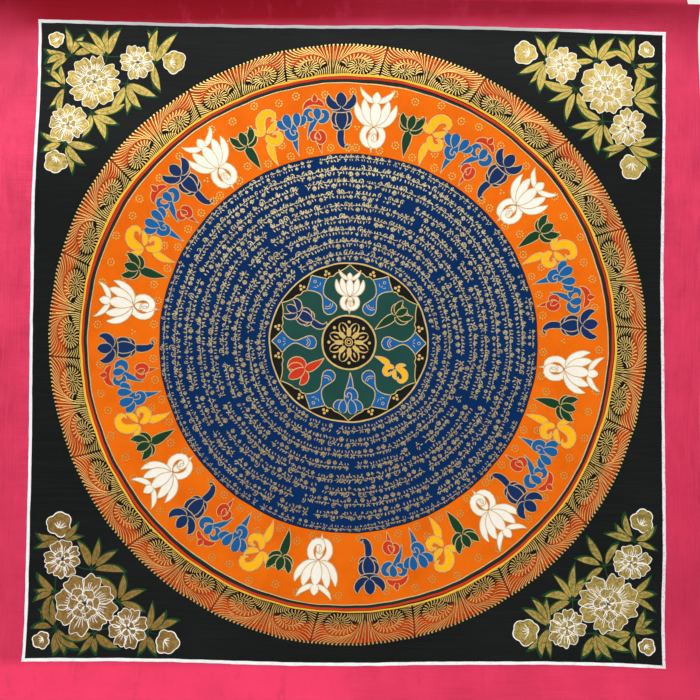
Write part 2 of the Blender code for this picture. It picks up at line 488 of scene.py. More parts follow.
def half_cell_ribs():
    """Ribs of half a cell, x from the plume to the divider, y outward: (path, width) pairs.

    Inside the shell a rib joins each turn of the winding line to the one outside it.  Outside, ribs
    spread from the shell to the rim and to the divider, and the plume's strokes rise from its foot.
    """
    length = np.linspace(0.02, 1.24, SHELL_RIBS)
    tips = (SHELL_REACH - np.sqrt(SHELL_REACH ** 2 - 2.0 * SHELL_LOSS * length)) / SHELL_LOSS
    foot, tip = shell_point(tips + 1.0, 1.08), shell_point(tips, 0.955, lean=0.42)
    control = 0.5 * (foot + tip) + 0.34 * np.stack([tip[:, 1] - foot[:, 1], foot[:, 0] - tip[:, 0]], axis=-1)
    slim = np.interp(tips, [0.0, 1.0, 2.0], [1.0, 0.80, 0.55])[:, None]
    inside = bezier(foot, control, tip, 5), np.array([0.40, 0.58, 0.78, 1.06, 0.70]) * slim

    number = np.arange(OFF_SHELL)
    turns = np.interp(number, [0, 10, 20], [0.04, 0.35, 0.71])
    on_rim = number < TO_RIM
    end_x = np.where(on_rim, (number + 2.5) * KNOB_PITCH, HALF_CELL - 0.8)
    end_y = np.where(on_rim, CELL_HEIGHT, CELL_HEIGHT - 0.6 - 2.16 * (number - 10.0))
    start, end = shell_point(turns, 1.07), np.stack([end_x, end_y], axis=-1)
    ahead = shell_point(turns + 0.01) - shell_point(turns - 0.01)
    ahead = ahead / np.linalg.norm(ahead, axis=1, keepdims=True)
    away = np.linalg.norm(end - start, axis=1, keepdims=True)
    control = start + 0.30 * ahead * away + 0.26 * (end - start)
    leaving = bezier(start, control, end, 8), np.array([0.20, 0.29, 0.38, 0.46, 0.53, 0.60, 0.67, 0.82])

    # Four strokes of the plume: the knob each ends at, the height of its foot, and how short it stops
    knob, low, short = np.array([(0.0, 0.0, 4.5), (0.5, 5.0, 0.0), (1.5, 0.0, 0.0), (2.05, 4.0, 3.6)]).T
    end_x = knob * KNOB_PITCH
    foot, end = np.stack([0.30 * end_x, low], axis=-1), np.stack([end_x, CELL_HEIGHT - short], axis=-1)
    control = np.stack([0.58 * end_x, np.full_like(end_x, 11.0)], axis=-1)
    plume = bezier(foot, control, end, 8), np.array([0.32, 0.38, 0.42, 0.44, 0.49, 0.54, 0.62, 0.76])

    # Nine short strokes that fill the foot between the plume and the shell
    foot_x = np.linspace(2.4, 15.6, 9)
    known = [2.4, 6.0, 8.4, 11.6, 15.6]
    end_x = np.interp(foot_x, known, [3.3, 6.2, 9.6, 12.4, 15.2])
    end_y = np.interp(foot_x, known, [8.6, 6.0, 5.2, 3.5, 1.2])
    foot, end = np.stack([foot_x, np.full_like(foot_x, -0.6)], axis=-1), np.stack([end_x, end_y], axis=-1)
    control = np.stack([foot_x - 1.2, 0.55 * end_y], axis=-1)
    filling = bezier(foot, control, end, 6), np.array([0.44, 0.60, 0.68, 0.72, 0.86, 0.54])
    return inside, leaving, plume, filling


def paint_filigree(ground_look, gold_look, divider_look):
    """The ring of shells and plumes: dark to red ground, raised gold ribs, thin dividers."""
    ground = Paint()
    ground.grids(annulus(ORANGE, FILIGREE_OUT - 0.5, 8), BAND_COAT - 0.05)
    ground.piece("filigree_ground", ground_look, "bright_paint")

    gold = Paint()
    plumes = np.arange(PLUMES) * 2.0 * np.pi / PLUMES - np.radians(PLUME_SHIFT)
    middle = 0.5 * (FILIGREE_IN + FILIGREE_OUT)
    for hand in (-1.0, 1.0):
        for path, width in half_cell_ribs():
            x, y = path[..., 0] * hand + LEAN * (path[..., 1] - CELL_HEIGHT), path[..., 1]
            turn = plumes[:, None, None] + x[None] / middle
            flat = around(turn, FILIGREE_IN + np.broadcast_to(y, turn.shape))
            sunk = np.broadcast_to(LINE_COAT - 0.15 * np.clip((1.0 - y) / 1.2, 0.0, 1.0), turn.shape)
            gold.strokes(flat, width, sunk, STROKE_RISE * np.clip(y.max() / 3.0, 0.3, 1.0))
    knobs = 2 * PLUMES * KNOBS
    turn = (np.arange(knobs) + 0.5) * 2.0 * np.pi / knobs - np.radians(PLUME_SHIFT)
    gold.dots(around(turn, FILIGREE_OUT + 0.50), KNOB, LINE_COAT + 0.02, 0.14, sides=7)
    gold.piece("filigree_gold", gold_look, "gold_paint")

    divider = Paint()
    lean = np.linspace(0.0, LEAN * (CELL_HEIGHT - DIVIDER_FOOT) / middle, 6)[None]
    turn = plumes[:, None] + np.pi / PLUMES - lean
    radius = np.broadcast_to(np.linspace(FILIGREE_OUT - 0.4, FILIGREE_IN + DIVIDER_FOOT, 6), turn.shape)
    divider.strokes(around(turn, radius), 0.55, LINE_COAT + 0.03, 0.02)
    divider.piece("filigree_dividers", divider_look, "bright_paint")


# --- Rings between the filigree and the orange ----------------------------------------------
RingLine = namedtuple("RingLine", "name radius width thin_turn thin_share look")
RING_LINES = (
    RingLine("yellow_ring_line", 213.7, 1.8, 190.0, 0.30, "ring_yellow"),
    RingLine("red_ring_line", 211.6, 2.1, 60.0, 0.28, "red"),
    RingLine("green_ring_line", 209.4, 2.2, 20.0, 0.24, "deep_green"),
    RingLine("gold_ring_line", 207.8, 0.75, 0.0, 0.0, "pale_gold"),
)


def paint_ring_lines(looks):
    """Four hand-drawn circles, each a little over its neighbour."""
    for order, line in enumerate(RING_LINES):
        circle = Paint()
        crown = LINE_COAT + 0.04 + 0.012 * order + np.array([0.0, LINE_CROWN, 0.0])[:, None]
        circle.grids(ring_line(line.radius, line.width, 1.0 + order, line.thin_turn, line.thin_share), crown)
        slot = "gold_paint" if line.look == "pale_gold" else "bright_paint"
        circle.piece(line.name, looks[line.look], slot)


# --- Orange ring and its figures ------------------------------------------------------------
# Clockwise turns in degrees of the eight groups, and of each figure after its group's first
GROUP_TURNS = (5.7, 49.9, 96.4, 139.4, 187.2, 233.0, 279.0, 322.4)

WHITE_LOTUS = (
    Leaf(0.5, -7.0, 264, 20.0, 6.8, 10, 0, 0.28, 1.8),
    *pair(-1.0, -5.5, 184, 38.0, 6.0, 250, 120, 0.34, 1.2),
    *pair(-1.0, -5.0, 172, 26.5, 6.8, -86, 0, 0.46, 1.6),
    *pair(-0.5, -5.0, 138, 23.0, 7.4, -48, 0, 0.52, 1.5),
    Leaf(0.0, -6.0, 90, 20.0, 9.0, 0, 0, 0.55, 1.4),
    *pair(-0.5, 13.5, 168, 18.0, 4.4, -60, 0, 0.40, 1.8),
    Leaf(0.0, 13.0, 90, 8.6, 6.6, 0, 0, 0.40, 1.2),
)
GREEN_SPRIG = (
    Leaf(0.5, -2.0, 266, 24.0, 8.0, 14, 0, 0.34, 1.8),
    Leaf(1.0, -4.0, -14, 24.0, 5.2, 210, 120, 0.36, 1.3),
    Leaf(-0.5, -3.0, 196, 20.0, 5.0, -200, -110, 0.36, 1.3),
    Leaf(-0.5, -2.0, 156, 14.5, 6.2, -64, 0, 0.48, 1.6),
    Leaf(0.5, -2.0, 24, 15.5, 6.4, 64, 0, 0.48, 1.6),
    Leaf(0.0, -3.0, 90, 12.0, 7.0, 0, 0, 0.52, 1.4),
)
YELLOW_FLAME = (
    Leaf(-0.5, -8.0, 256, 20.0, 6.2, 28, 0, 0.32, 1.8),
    Leaf(0.5, -2.0, 250, 25.0, 6.0, 230, 110, 0.38, 1.2),
    Leaf(-0.5, 0.0, 172, 13.0, 4.6, -70, 0, 0.44, 1.7),
    Leaf(0.5, 0.0, 0, 13.0, 4.6, 74, 0, 0.44, 1.7),
    Leaf(-1.0, 0.0, 112, 31.0, 7.0, -120, -190, 0.36, 1.3),
)
BLUE_CLOUD = (
    Leaf(3.0, 0.0, 254, 26.0, 6.8, 22, 0, 0.28, 1.7),
    Leaf(-0.5, -1.0, 206, 22.0, 5.2, 210, 120, 0.36, 1.2),
    Leaf(4.0, -1.0, -16, 14.0, 4.8, 200, 110, 0.38, 1.2),
    Leaf(-2.5, -2.5, 148, 10.5, 6.6, -50, 0, 0.62, 1.0),
    Leaf(8.0, -2.5, 42, 9.0, 6.0, 40, 0, 0.62, 1.0),
    Leaf(0.0, -3.0, 104, 12.0, 7.2, -10, 0, 0.62, 1.0),
    Leaf(5.2, -3.0, 76, 11.5, 6.6, 10, 0, 0.62, 1.0),
)
BLUE_WAVE = (
    Leaf(3.0, 4.0, 226, 22.0, 5.0, 20, 0, 0.34, 1.6),
    Leaf(-1.0, 1.0, 190, 17.0, 5.0, -190, -90, 0.40, 1.2),
    Leaf(2.0, -1.0, -24, 19.0, 5.2, 190, 110, 0.38, 1.2),
    Leaf(2.0, 0.0, 84, 9.5, 6.4, 10, 0, 0.60, 1.0),
)
RED_DROPS = (
    Leaf(-8.5, 10.0, 64, 19.5, 5.4, -128, 0, 0.52, 1.2),
    Leaf(0.5, 14.5, 78, 6.5, 4.2, 18, 0, 0.36, 1.3),
    Leaf(0.5, -9.0, 262, 18.0, 5.2, 16, 0, 0.32, 1.7),
    Leaf(0.5, -9.0, -14, 18.0, 4.8, -190, -110, 0.40, 1.2),
    Leaf(-0.5, -9.0, 170, 12.0, 4.4, 150, 60, 0.46, 1.2),
)
NAVY_CURLS = (
    Leaf(0.0, -8.0, 252, 21.0, 6.6, 30, 130, 0.32, 1.1),
    *pair(-0.5, -8.5, 172, 10.0, 4.9, -80, 0, 0.44, 1.4),
    *pair(-1.5, 5.5, 200, 19.5, 5.8, 170, 80, 0.38, 1.2),
    Leaf(0.0, 6.0, 270, 16.0, 9.6, 0, 0, 0.42, 1.1),
    Leaf(-8.0, 6.8, -4, 16.0, 5.2, 8, 0, 0.50, 1.1),
    *pair(-0.5, 8.5, 186, 16.0, 6.5, -116, 0, 0.42, 1.3),
    Leaf(0.0, 8.5, 90, 12.0, 8.2, 0, 0, 0.48, 1.2),
)
RED_BUD = (
    Leaf(-1.0, -2.0, 262, 17.0, 6.0, 22, 0, 0.32, 1.7),
    Leaf(0.5, -3.0, -20, 24.0, 5.4, 210, 120, 0.34, 1.2),
    Leaf(-1.0, -2.0, 176, 12.5, 5.4, -90, 0, 0.46, 1.4),
    Leaf(1.0, -2.0, 36, 12.0, 5.4, 60, 0, 0.46, 1.5),
    Leaf(0.0, -3.0, 98, 14.0, 7.0, -10, 0, 0.50, 1.3),
)
Figure = namedtuple("Figure", "name look leaves after wide")
FIGURES = (
    Figure("white_lotuses", "white", WHITE_LOTUS, 0.0, 0.93),
    Figure("green_sprigs", "leaf_green", GREEN_SPRIG, 9.3, 1.0),
    Figure("yellow_flames", "yellow", YELLOW_FLAME, 15.2, 1.0),
    Figure("blue_clouds", "mid_blue", BLUE_CLOUD, 21.6, 1.0),
    Figure("blue_waves", "mid_blue", BLUE_WAVE, 28.2, 1.0),
    Figure("red_drops", "red", RED_DROPS, 28.4, 1.0),
    Figure("navy_curls", "navy", NAVY_CURLS, 34.9, 1.0),
)
FIGURE_LINE = 0.72            # gold line round each leaf of a figure

# Rosettes of nine dots, and lone triplets of dots: turn in degrees after each group's first
# figure, and distance from the mandala's centre
ROSETTES = (
    (-5.6, 200.5), (3.9, 202.0), (8.9, 199.5), (14.8, 203.5), (20.4, 199.0), (24.6, 201.5), (31.2, 199.0),
    (-4.4, 156.0), (2.6, 156.0), (6.8, 162.5), (12.4, 156.5), (17.9, 166.0), (19.4, 156.0), (25.3, 157.0),
    (31.4, 156.5), (36.6, 156.0),
)
ROSETTE_DOT = 0.78            # radius of a dot
TRIPLET_DOT = 0.82
DOT_RISE = 0.12
TRIPLETS = ((5.3, 186.5), (12.0, 189.0), (18.1, 177.5), (25.2, 177.0), (38.9, 172.0))


def paint_figures(looks, starts):
    """Leaves of each figure in its colour, and the gold lines round all of them as one piece."""
    lines = Paint()
    for figure in FIGURES:
        body = Paint()
        shape = np.array([figure.wide, 1.0])
        fills, outlines = leaf_fills(figure.leaves) * shape, leaf_outlines(figure.leaves, FIGURE_LINE) * shape
        order = np.arange(len(figure.leaves)) * 2.0 * ORDER_STEP
        for turn in starts + np.radians(figure.after):
            body.grids(on_ring(fills, turn, FIGURE_RADIUS), MOTIF_COAT + order[:, None, None])
            outline_coat = MOTIF_COAT + ORDER_STEP + order[:, None, None, None]
            lines.grids(on_ring(outlines, turn, FIGURE_RADIUS), outline_coat)
        body.piece(figure.name, looks[figure.look], "bright_paint")
    lines.piece("ring_figure_lines", looks["outline_gold"], "gold_paint")


def paint_orange_ring(looks):
    """The orange ring, its dots, and eight groups of seven coloured figures."""
    ring = Paint()
    ring.grids(annulus(DISC - 1.5, ORANGE + 0.3, 14), BAND_COAT)
    ring.piece("orange_ring", looks["orange"], "bright_paint")

    starts = np.radians(GROUP_TURNS)
    dots = Paint()
    petals = np.arange(8) * np.pi / 4.0
    rosette = np.concatenate([np.zeros((1, 2)), 2.6 * unit(petals)])
    triplet = np.array([[-1.5, 0.8], [1.5, 0.8], [0.0, -1.2]])
    for start in starts:
        for after, radius in ROSETTES:
            # Being round, a rosette may stand at any turn
            any_turn = start + after
            spot = around(start + np.radians(after), radius)
            dots.dots(placed(rosette, spot, any_turn), ROSETTE_DOT, MOTIF_COAT, DOT_RISE, sides=6)
        for after, radius in TRIPLETS:
            turn = start + np.radians(after)
            spot = around(turn, radius)
            dots.dots(placed(triplet, spot, turn), TRIPLET_DOT, MOTIF_COAT, DOT_RISE, sides=6)
    dots.piece("ring_rosettes", looks["dot_gold"], "gold_paint")
    paint_figures(looks, starts)


# --- Blue disc with rows of gold sprigs -----------------------------------------------------
DISC_INSIDE = 60.0            # the disc starts here, under the medallion
DISC_EDGE = 0.30              # half width of its dark edge line
ROW_FIRST = 69.8              # radius of the innermost row
ROW_PITCH = 9.72
ROWS = 9
SPRIG_PITCH = 5.00
SPRIG_STRETCH = np.array([1.38, 1.44])   # along the row and across it
SPRIGS_LEFT = 0.96            # share of the sprigs that are there, the others being gaps
VINES_LEFT = 0.74             # share of them that hang from a piece of vine
SWAY = 0.45                   # how far a row wanders in and out

# Small sprigs of a few strokes each, about the vine: x along it, y outward
SPRIGS = (
    (Leaf(0.0, 0.0, 88, 2.9, 0.66, 10, 0, 0.5, 1.3), Leaf(0.0, 0.4, 148, 2.0, 0.66, -50, 0, 0.5, 1.3),
     Leaf(0.0, 0.4, 32, 2.0, 0.66, 50, 0, 0.5, 1.3), Leaf(0.6, -0.2, -60, 1.7, 0.62, -60, 0, 0.5, 1.3),
     Leaf(-0.9, -0.2, 250, 1.6, 0.62, 60, 0, 0.5, 1.3), Leaf(0.1, 1.9, 150, 1.0, 0.62, 0, 0, 0.5, 1.0)),
    (Leaf(-0.8, 0.0, 60, 4.8, 0.54, 110, 150, 0.4, 1.2), Leaf(0.8, -0.2, -80, 2.2, 0.62, 70, 0, 0.5, 1.3),
     Leaf(-0.6, -0.2, 230, 1.8, 0.62, 60, 0, 0.5, 1.3), Leaf(1.3, 0.9, 30, 1.1, 0.54, 0, 0, 0.5, 1.0),
     Leaf(-1.5, 0.3, 110, 1.5, 0.62, -70, 0, 0.5, 1.2), Leaf(0.3, -0.9, 200, 1.4, 0.54, 60, 0, 0.5, 1.0)),
    (*(Leaf(0.0, 1.0, heading, 1.5, 0.60, 0, 0, 0.6, 1.1) for heading in (45, 135, 225, 315)),
     Leaf(0.0, -0.1, -80, 2.2, 0.62, 60, 0, 0.5, 1.3), Leaf(-0.8, -0.3, 230, 1.6, 0.62, 50, 0, 0.5, 1.2)),
    (Leaf(0.2, 0.0, -92, 2.7, 0.66, -12, 0, 0.5, 1.3), Leaf(0.2, -0.4, 212, 1.9, 0.66, 50, 0, 0.5, 1.3),
     Leaf(0.2, -0.4, -32, 1.9, 0.66, -50, 0, 0.5, 1.3), Leaf(-0.4, 0.3, 110, 1.8, 0.62, -60, 0, 0.5, 1.3),
     Leaf(0.8, 0.4, 50, 1.6, 0.62, 60, 0, 0.5, 1.3), Leaf(0.1, -1.8, -30, 1.0, 0.62, 0, 0, 0.5, 1.0)),
    (Leaf(0.9, 0.0, 120, 4.6, 0.54, -110, -150, 0.4, 1.2), Leaf(-0.7, 0.2, 100, 2.0, 0.62, 60, 0, 0.5, 1.3),
     Leaf(0.5, -0.3, -50, 1.9, 0.62, -80, 0, 0.5, 1.3), Leaf(-1.4, -0.8, 215, 1.0, 0.54, 0, 0, 0.5, 1.0),
     Leaf(1.6, 0.3, 60, 1.5, 0.62, 70, 0, 0.5, 1.2), Leaf(-0.3, -0.9, -20, 1.4, 0.54, -60, 0, 0.5, 1.0)),
    (*(Leaf(0.0, -0.9, heading, 1.3, 0.64, 0, 0, 0.6, 1.0) for heading in (20, 140, 260)),
     Leaf(0.2, 0.6, 75, 2.1, 0.62, -40, 0, 0.5, 1.3),
     Leaf(-0.8, 0.4, 130, 1.7, 0.62, 60, 0, 0.5, 1.2), Leaf(1.0, 0.3, 30, 1.6, 0.62, 50, 0, 0.5, 1.2)),
)

SPRIG_SHARES = (0.28, 0.09, 0.15, 0.26, 0.09, 0.13)


def paint_disc(disc_look, edge_look, gold_look):
    """The blue disc with its dark edge, and nine rows of fine gold sprigs on broken vines."""
    disc = Paint()
    disc.grids(annulus(DISC_INSIDE, DISC, 20, segments=240), BAND_COAT + 0.03)
    disc.piece("blue_disc", disc_look, "bright_paint")

    edge = Paint()
    edge.grids(annulus(DISC - DISC_EDGE, DISC + DISC_EDGE, 2, segments=240), BAND_COAT + 0.05)
    edge.piece("disc_edge_line", edge_look, "black_ground")

    gold = Paint()
    wander = np.random.default_rng(11)
    fills = np.stack([leaf_fills(sprig, steps=6)[:, :, [0, 2]] for sprig in SPRIGS])
    for row in range(ROWS):
        # The outermost row is smaller, so that it stays inside the disc
        outermost = row == ROWS - 1
        radius = ROW_FIRST + ROW_PITCH * row - 0.5 * outermost
        count = int(round(2.0 * np.pi * radius / SPRIG_PITCH))
        turn = (np.arange(count) + wander.uniform(-0.14, 0.14, count)) * 2.0 * np.pi / count
        turn = turn[wander.random(count) < SPRIGS_LEFT]
        count = len(turn)
        kind = wander.choice(len(SPRIGS), size=count, p=SPRIG_SHARES)
        size = (1.0 - 0.25 * outermost) * wander.uniform(0.92, 1.30, count)[:, None, None, None, None]
        tilt = wander.uniform(-0.25, 0.25, count)[:, None, None, None]
        local = placed(fills[kind] * SPRIG_STRETCH, 0.0, -tilt, size[..., 0])
        sway = SWAY * np.sin(6.0 * turn + 1.7 * row)
        rise = (sway + wander.uniform(-0.45, 0.45, count) * (1.0 - 0.6 * outermost))[:, None, None, None]
        middle = turn[:, None, None, None]
        gold.grids(around(middle + local[..., 0] / radius, radius + local[..., 1] + rise), MOTIF_COAT)
        kept = wander.random(count) < VINES_LEFT
        start, sway = turn[kept, None], sway[kept, None]
        run = np.linspace(-0.35, 0.75, 6)[None] * SPRIG_PITCH
        vine = around(start + run / radius, radius + sway + 1.1 + 0.30 * np.sin(1.2 * run + 9.0 * start))
        gold.strokes(vine, taper(0.60, 0.46, 6), MOTIF_COAT - 0.01, 0.0, columns=2)
    gold.piece("gold_sprig_rows", gold_look, "gold_paint")


# --- Lotus medallion ------------------------------------------------------------------------
MEDALLION = 63.4              # its gold circle
HUB = 21.6                    # black disc in the middle
PETALS = 6
PETAL_FOOT = HUB - 0.8        # where the green petals start, under the hub's circle
HUB_DOTS = 16.4               # radius of the ring of dots in the hub
SIDE_DOTS = 58.2              # radius of the triplets beside each green petal
SIDE_DOTS_TURN = 18.6         # and their turn in degrees from its middle
LINE_STOPS = 20.6             # degrees from a green petal's middle, where its gold line stops
# Reach of a green petal at each turn in degrees from its own middle
PetalEdge = namedtuple("PetalEdge", "turn reach")
PETAL_EDGE = (
    PetalEdge(0.0, 62.4), PetalEdge(2.2, 60.3), PetalEdge(5.0, 58.4), PetalEdge(8.5, 56.9),
    PetalEdge(11.5, 56.2), PetalEdge(14.0, 54.6), PetalEdge(17.0, 55.0), PetalEdge(20.4, 53.3),
    PetalEdge(23.3, 50.8), PetalEdge(25.7, 48.4), PetalEdge(27.5, 45.8), PetalEdge(28.6, 43.2),
    PetalEdge(30.0, 41.0),
)
# Half width of a blue petal at each distance from the mandala's centre
BlueEdge = namedtuple("BlueEdge", "reach half")
BLUE_EDGE = (
    BlueEdge(26.2, 0.2), BlueEdge(27.0, 2.7), BlueEdge(29.0, 4.7), BlueEdge(31.5, 5.3),
    BlueEdge(34.5, 4.4), BlueEdge(38.0, 2.6), BlueEdge(41.0, 1.4), BlueEdge(43.5, 1.1),
    BlueEdge(46.0, 1.9), BlueEdge(48.5, 3.6), BlueEdge(50.8, 5.9), BlueEdge(52.6, 8.3),
    BlueEdge(53.6, 8.9), BlueEdge(54.6, 7.6), BlueEdge(57.0, 5.0), BlueEdge(59.4, 2.4),
    BlueEdge(61.8, 0.2),
)
MEDALLION_LINE = 0.72
MedallionFigure = namedtuple("MedallionFigure", "name look leaves span reach")
MEDALLION_FIGURES = (
    MedallionFigure("white_lotus", "white", WHITE_LOTUS, 35.0, 40.6),
    MedallionFigure("green_sprig", "leaf_green", GREEN_SPRIG, 31.5, 39.0),
    MedallionFigure("yellow_flame", "yellow", YELLOW_FLAME, 32.0, 39.0),
    MedallionFigure("blue_cloud", "mid_blue", BLUE_CLOUD, 33.0, 40.5),
    MedallionFigure("red_bud", "red", RED_BUD, 32.5, 39.5),
    MedallionFigure("navy_curls", "navy", NAVY_CURLS, 36.0, 40.0),
)


def paint_medallion(looks):
    """Black circle, six green ogee petals, six narrow blue ones, and a gold flower in the hub."""
    ground = Paint()
    ground.grids(annulus(0.4, MEDALLION, 14, segments=180), BAND_COAT + 0.05)
    ground.piece("medallion_ground", looks["black"], "black_ground")

    turn = np.linspace(-np.pi / PETALS, np.pi / PETALS, 61)
    reach = read_table(PETAL_EDGE, np.abs(np.degrees(turn)))
    middles = np.arange(PETALS) * 2.0 * np.pi / PETALS
    green = Paint()
    share = np.linspace(0.0, 1.0, 9)[:, None]
    radius = PETAL_FOOT + (reach[None] - PETAL_FOOT) * share
    for middle in middles:
        green.grids(around(middle + turn[None] + 0.0 * share, radius), BAND_COAT + 0.08)
    green.piece("green_petals", looks["petal_green"], "bright_paint")

    blue = Paint()
    distance = np.linspace(BLUE_EDGE[0].reach, BLUE_EDGE[-1].reach, 45)
    half = read_table(BLUE_EDGE, distance)
    across = np.array([-1.0, -0.5, 0.0, 0.5, 1.0])
    for middle in middles + np.pi / PETALS:
        local = np.stack([half[:, None] * across, distance[:, None] + 0.0 * across], axis=-1)
        blue.grids(placed(local, CENTRE, middle), BAND_COAT + 0.10)
    blue.piece("blue_petals", looks["mid_blue"], "bright_paint")

    gold = Paint()
    seen = np.abs(np.degrees(turn)) < LINE_STOPS
    for middle in middles:
        gold.strokes(around(middle + turn[seen], reach[seen]), MEDALLION_LINE, LINE_COAT + 0.04, 0.07)
    for middle in middles + np.pi / PETALS:
        for hand in (-1.0, 1.0):
            edge = np.stack([hand * half, distance], axis=-1)
            gold.strokes(placed(edge, CENTRE, middle), MEDALLION_LINE, LINE_COAT + 0.05, 0.07)
        for bow in (2.5, 4.2):
            sweep = np.linspace(-1.10, 1.10, 9)
            arc = np.stack([bow * np.sin(sweep), 35.4 - bow * np.cos(sweep)], axis=-1)
            gold.strokes(placed(arc, CENTRE, middle), 0.50, LINE_COAT + 0.05, 0.05)
        for spread in (-1.0, 0.0, 1.0):
            tick = np.stack([spread * np.linspace(1.2, 3.4, 4), np.linspace(51.0, 53.0, 4)], axis=-1)
            gold.strokes(placed(tick, CENTRE, middle), taper(0.5, 0.4, 4), LINE_COAT + 0.05, 0.04)
        sweep = np.linspace(0.0, 2.0 * np.pi, 11)
        loop = clock(sweep, 1.1) + np.array([0.0, 56.0])
        gold.strokes(placed(loop, CENTRE, middle), 0.42, LINE_COAT + 0.05, 0.04)
    gold.grids(ring_line(MEDALLION, 1.15, 3.0), LINE_COAT + 0.06 + np.array([0.0, 0.08, 0.0])[:, None])
    gold.grids(ring_line(HUB, 1.35, 4.0), LINE_COAT + 0.08 + np.array([0.0, 0.08, 0.0])[:, None])
    triplet = np.array([[-1.5, -0.9], [1.5, -0.9], [0.0, 1.5]])
    for middle in middles:
        for hand in (-1.0, 1.0):
            turn_here = middle + hand * np.radians(SIDE_DOTS_TURN)
            spots = placed(triplet, around(turn_here, SIDE_DOTS), turn_here)
            gold.dots(spots, 1.15, LINE_COAT, 0.22, sides=9)
    gold.piece("medallion_gold", looks["hub_gold"], "gold_paint")

    paint_hub(looks)
    paint_medallion_figures(looks)


def paint_hub(looks):
    """Black hub with a gold lotus of eight petals seen from above, with rings of dots."""
    hub = Paint()
    hub.grids(annulus(0.3, HUB, 6, segments=120), LINE_COAT)
    hub.piece("hub_ground", looks["black"], "black_ground")

    flower = Paint()
    turns = np.arange(8) * np.pi / 4.0
    back = [Leaf(0.0, 5.0, 90, 11.6, 6.6, 0, 0, 0.56, 1.3)]
    front = [Leaf(0.0, 4.2, 90, 7.4, 3.9, 0, 0, 0.56, 1.2)]
    for turn in turns + np.pi / 8.0:
        flower.grids(placed(leaf_outlines(back, 1.15), CENTRE, turn), MOTIF_COAT + 0.02)
        vein = np.stack([np.zeros(4), np.linspace(9.0, 13.5, 4)], axis=-1)
        flower.strokes(placed(vein, CENTRE, turn), taper(1.7, 0.8, 4), MOTIF_COAT + 0.02, 0.06)
    for turn in turns:
        flower.grids(placed(leaf_fills(front), CENTRE, turn), MOTIF_COAT + 0.04)
    sweep = np.linspace(0.0, 2.0 * np.pi, 25)
    for size in (1.5, 2.9):
        flower.strokes(around(sweep, size), 0.72, MOTIF_COAT + 0.07, 0.05)
    flower.dots(around(turns, HUB_DOTS), 1.25, MOTIF_COAT + 0.02, 0.16, sides=9)
    flower.piece("hub_flower", looks["hub_gold"], "gold_paint")


def paint_medallion_figures(looks):
    """One small figure of each colour on each green petal, with a gold line round its leaves."""
    lines = Paint()
    for number, figure in enumerate(MEDALLION_FIGURES):
        leaves = np.array(figure.leaves)
        fills = leaf_fills(leaves)
        low, high = fills.min(axis=(0, 1, 2)), fills.max(axis=(0, 1, 2))
        leaves[:, :2] -= 0.5 * (low + high)
        size = figure.span / (high - low).max()
        turn = number * 2.0 * np.pi / PETALS
        spot = around(turn, figure.reach)
        order = np.arange(len(leaves)) * 2.0 * ORDER_STEP
        body = Paint()
        body.grids(placed(leaf_fills(leaves), spot, turn, size), MOTIF_COAT + 0.03 + order[:, None, None])
        body.piece("medallion_" + figure.name, looks[figure.look], "bright_paint")
        outlines = leaf_outlines(leaves, FIGURE_LINE / size)
        lines.grids(placed(outlines, spot, turn, size), MOTIF_COAT + 0.04 + order[:, None, None, None])
    lines.piece("medallion_figure_lines", looks["pale_gold"], "gold_paint")


# --- Corner sprays --------------------------------------------------------------------------
# Leaves that end outside these limits, in mm, are shortened
SPRAY_MIDDLE = 3.7
SPRAY_REACH = 244.5
SPRAY_TOP = -31.0
SPRAY_BOTTOM = -525.5
Flower = namedtuple("Flower", "kind x z radius turn")
Fan = namedtuple("Fan", "x z first last count length")
SPRAY_FLOWERS = (
    Flower("peony", -201.7, -74.6, 21.6, 8), Flower("small", -168.5, -58.1, 13.6, 20),
    Flower("small", -221.3, -109.4, 14.9, 0), Flower("bud", -233.0, -41.2, 6.6, 140),
    Flower("bud", -140.1, -57.1, 9.8, 10), Flower("bud", -229.7, -139.4, 9.6, 260),
    Flower("peony", 207.4, -72.8, 22.2, 30), Flower("small", 171.8, -53.9, 14.4, 5),
    Flower("small", 224.3, -104.0, 14.6, 40), Flower("bud", 142.6, -44.7, 10.2, 170),
    Flower("bud", 238.9, -40.8, 6.8, 40), Flower("bud", 227.6, -134.6, 10.6, 280),
    Flower("peony", -201.4, -487.9, 23.6, 60), Flower("small", -220.0, -453.5, 14.4, 12),
    Flower("small", -167.4, -506.3, 15.4, 30), Flower("bud", -223.3, -427.2, 10.6, 85),
    Flower("bud", -233.5, -515.6, 7.0, 210), Flower("bud", -136.6, -516.4, 10.0, 340),
    Flower("peony", 211.4, -483.9, 23.2, 15), Flower("small", 229.7, -450.4, 14.9, 25),
    Flower("small", 178.7, -502.9, 14.9, 8), Flower("bud", 238.2, -418.4, 9.8, 70),
    Flower("bud", 147.5, -506.2, 11.0, 190), Flower("bud", 241.3, -515.5, 6.8, 330),
)
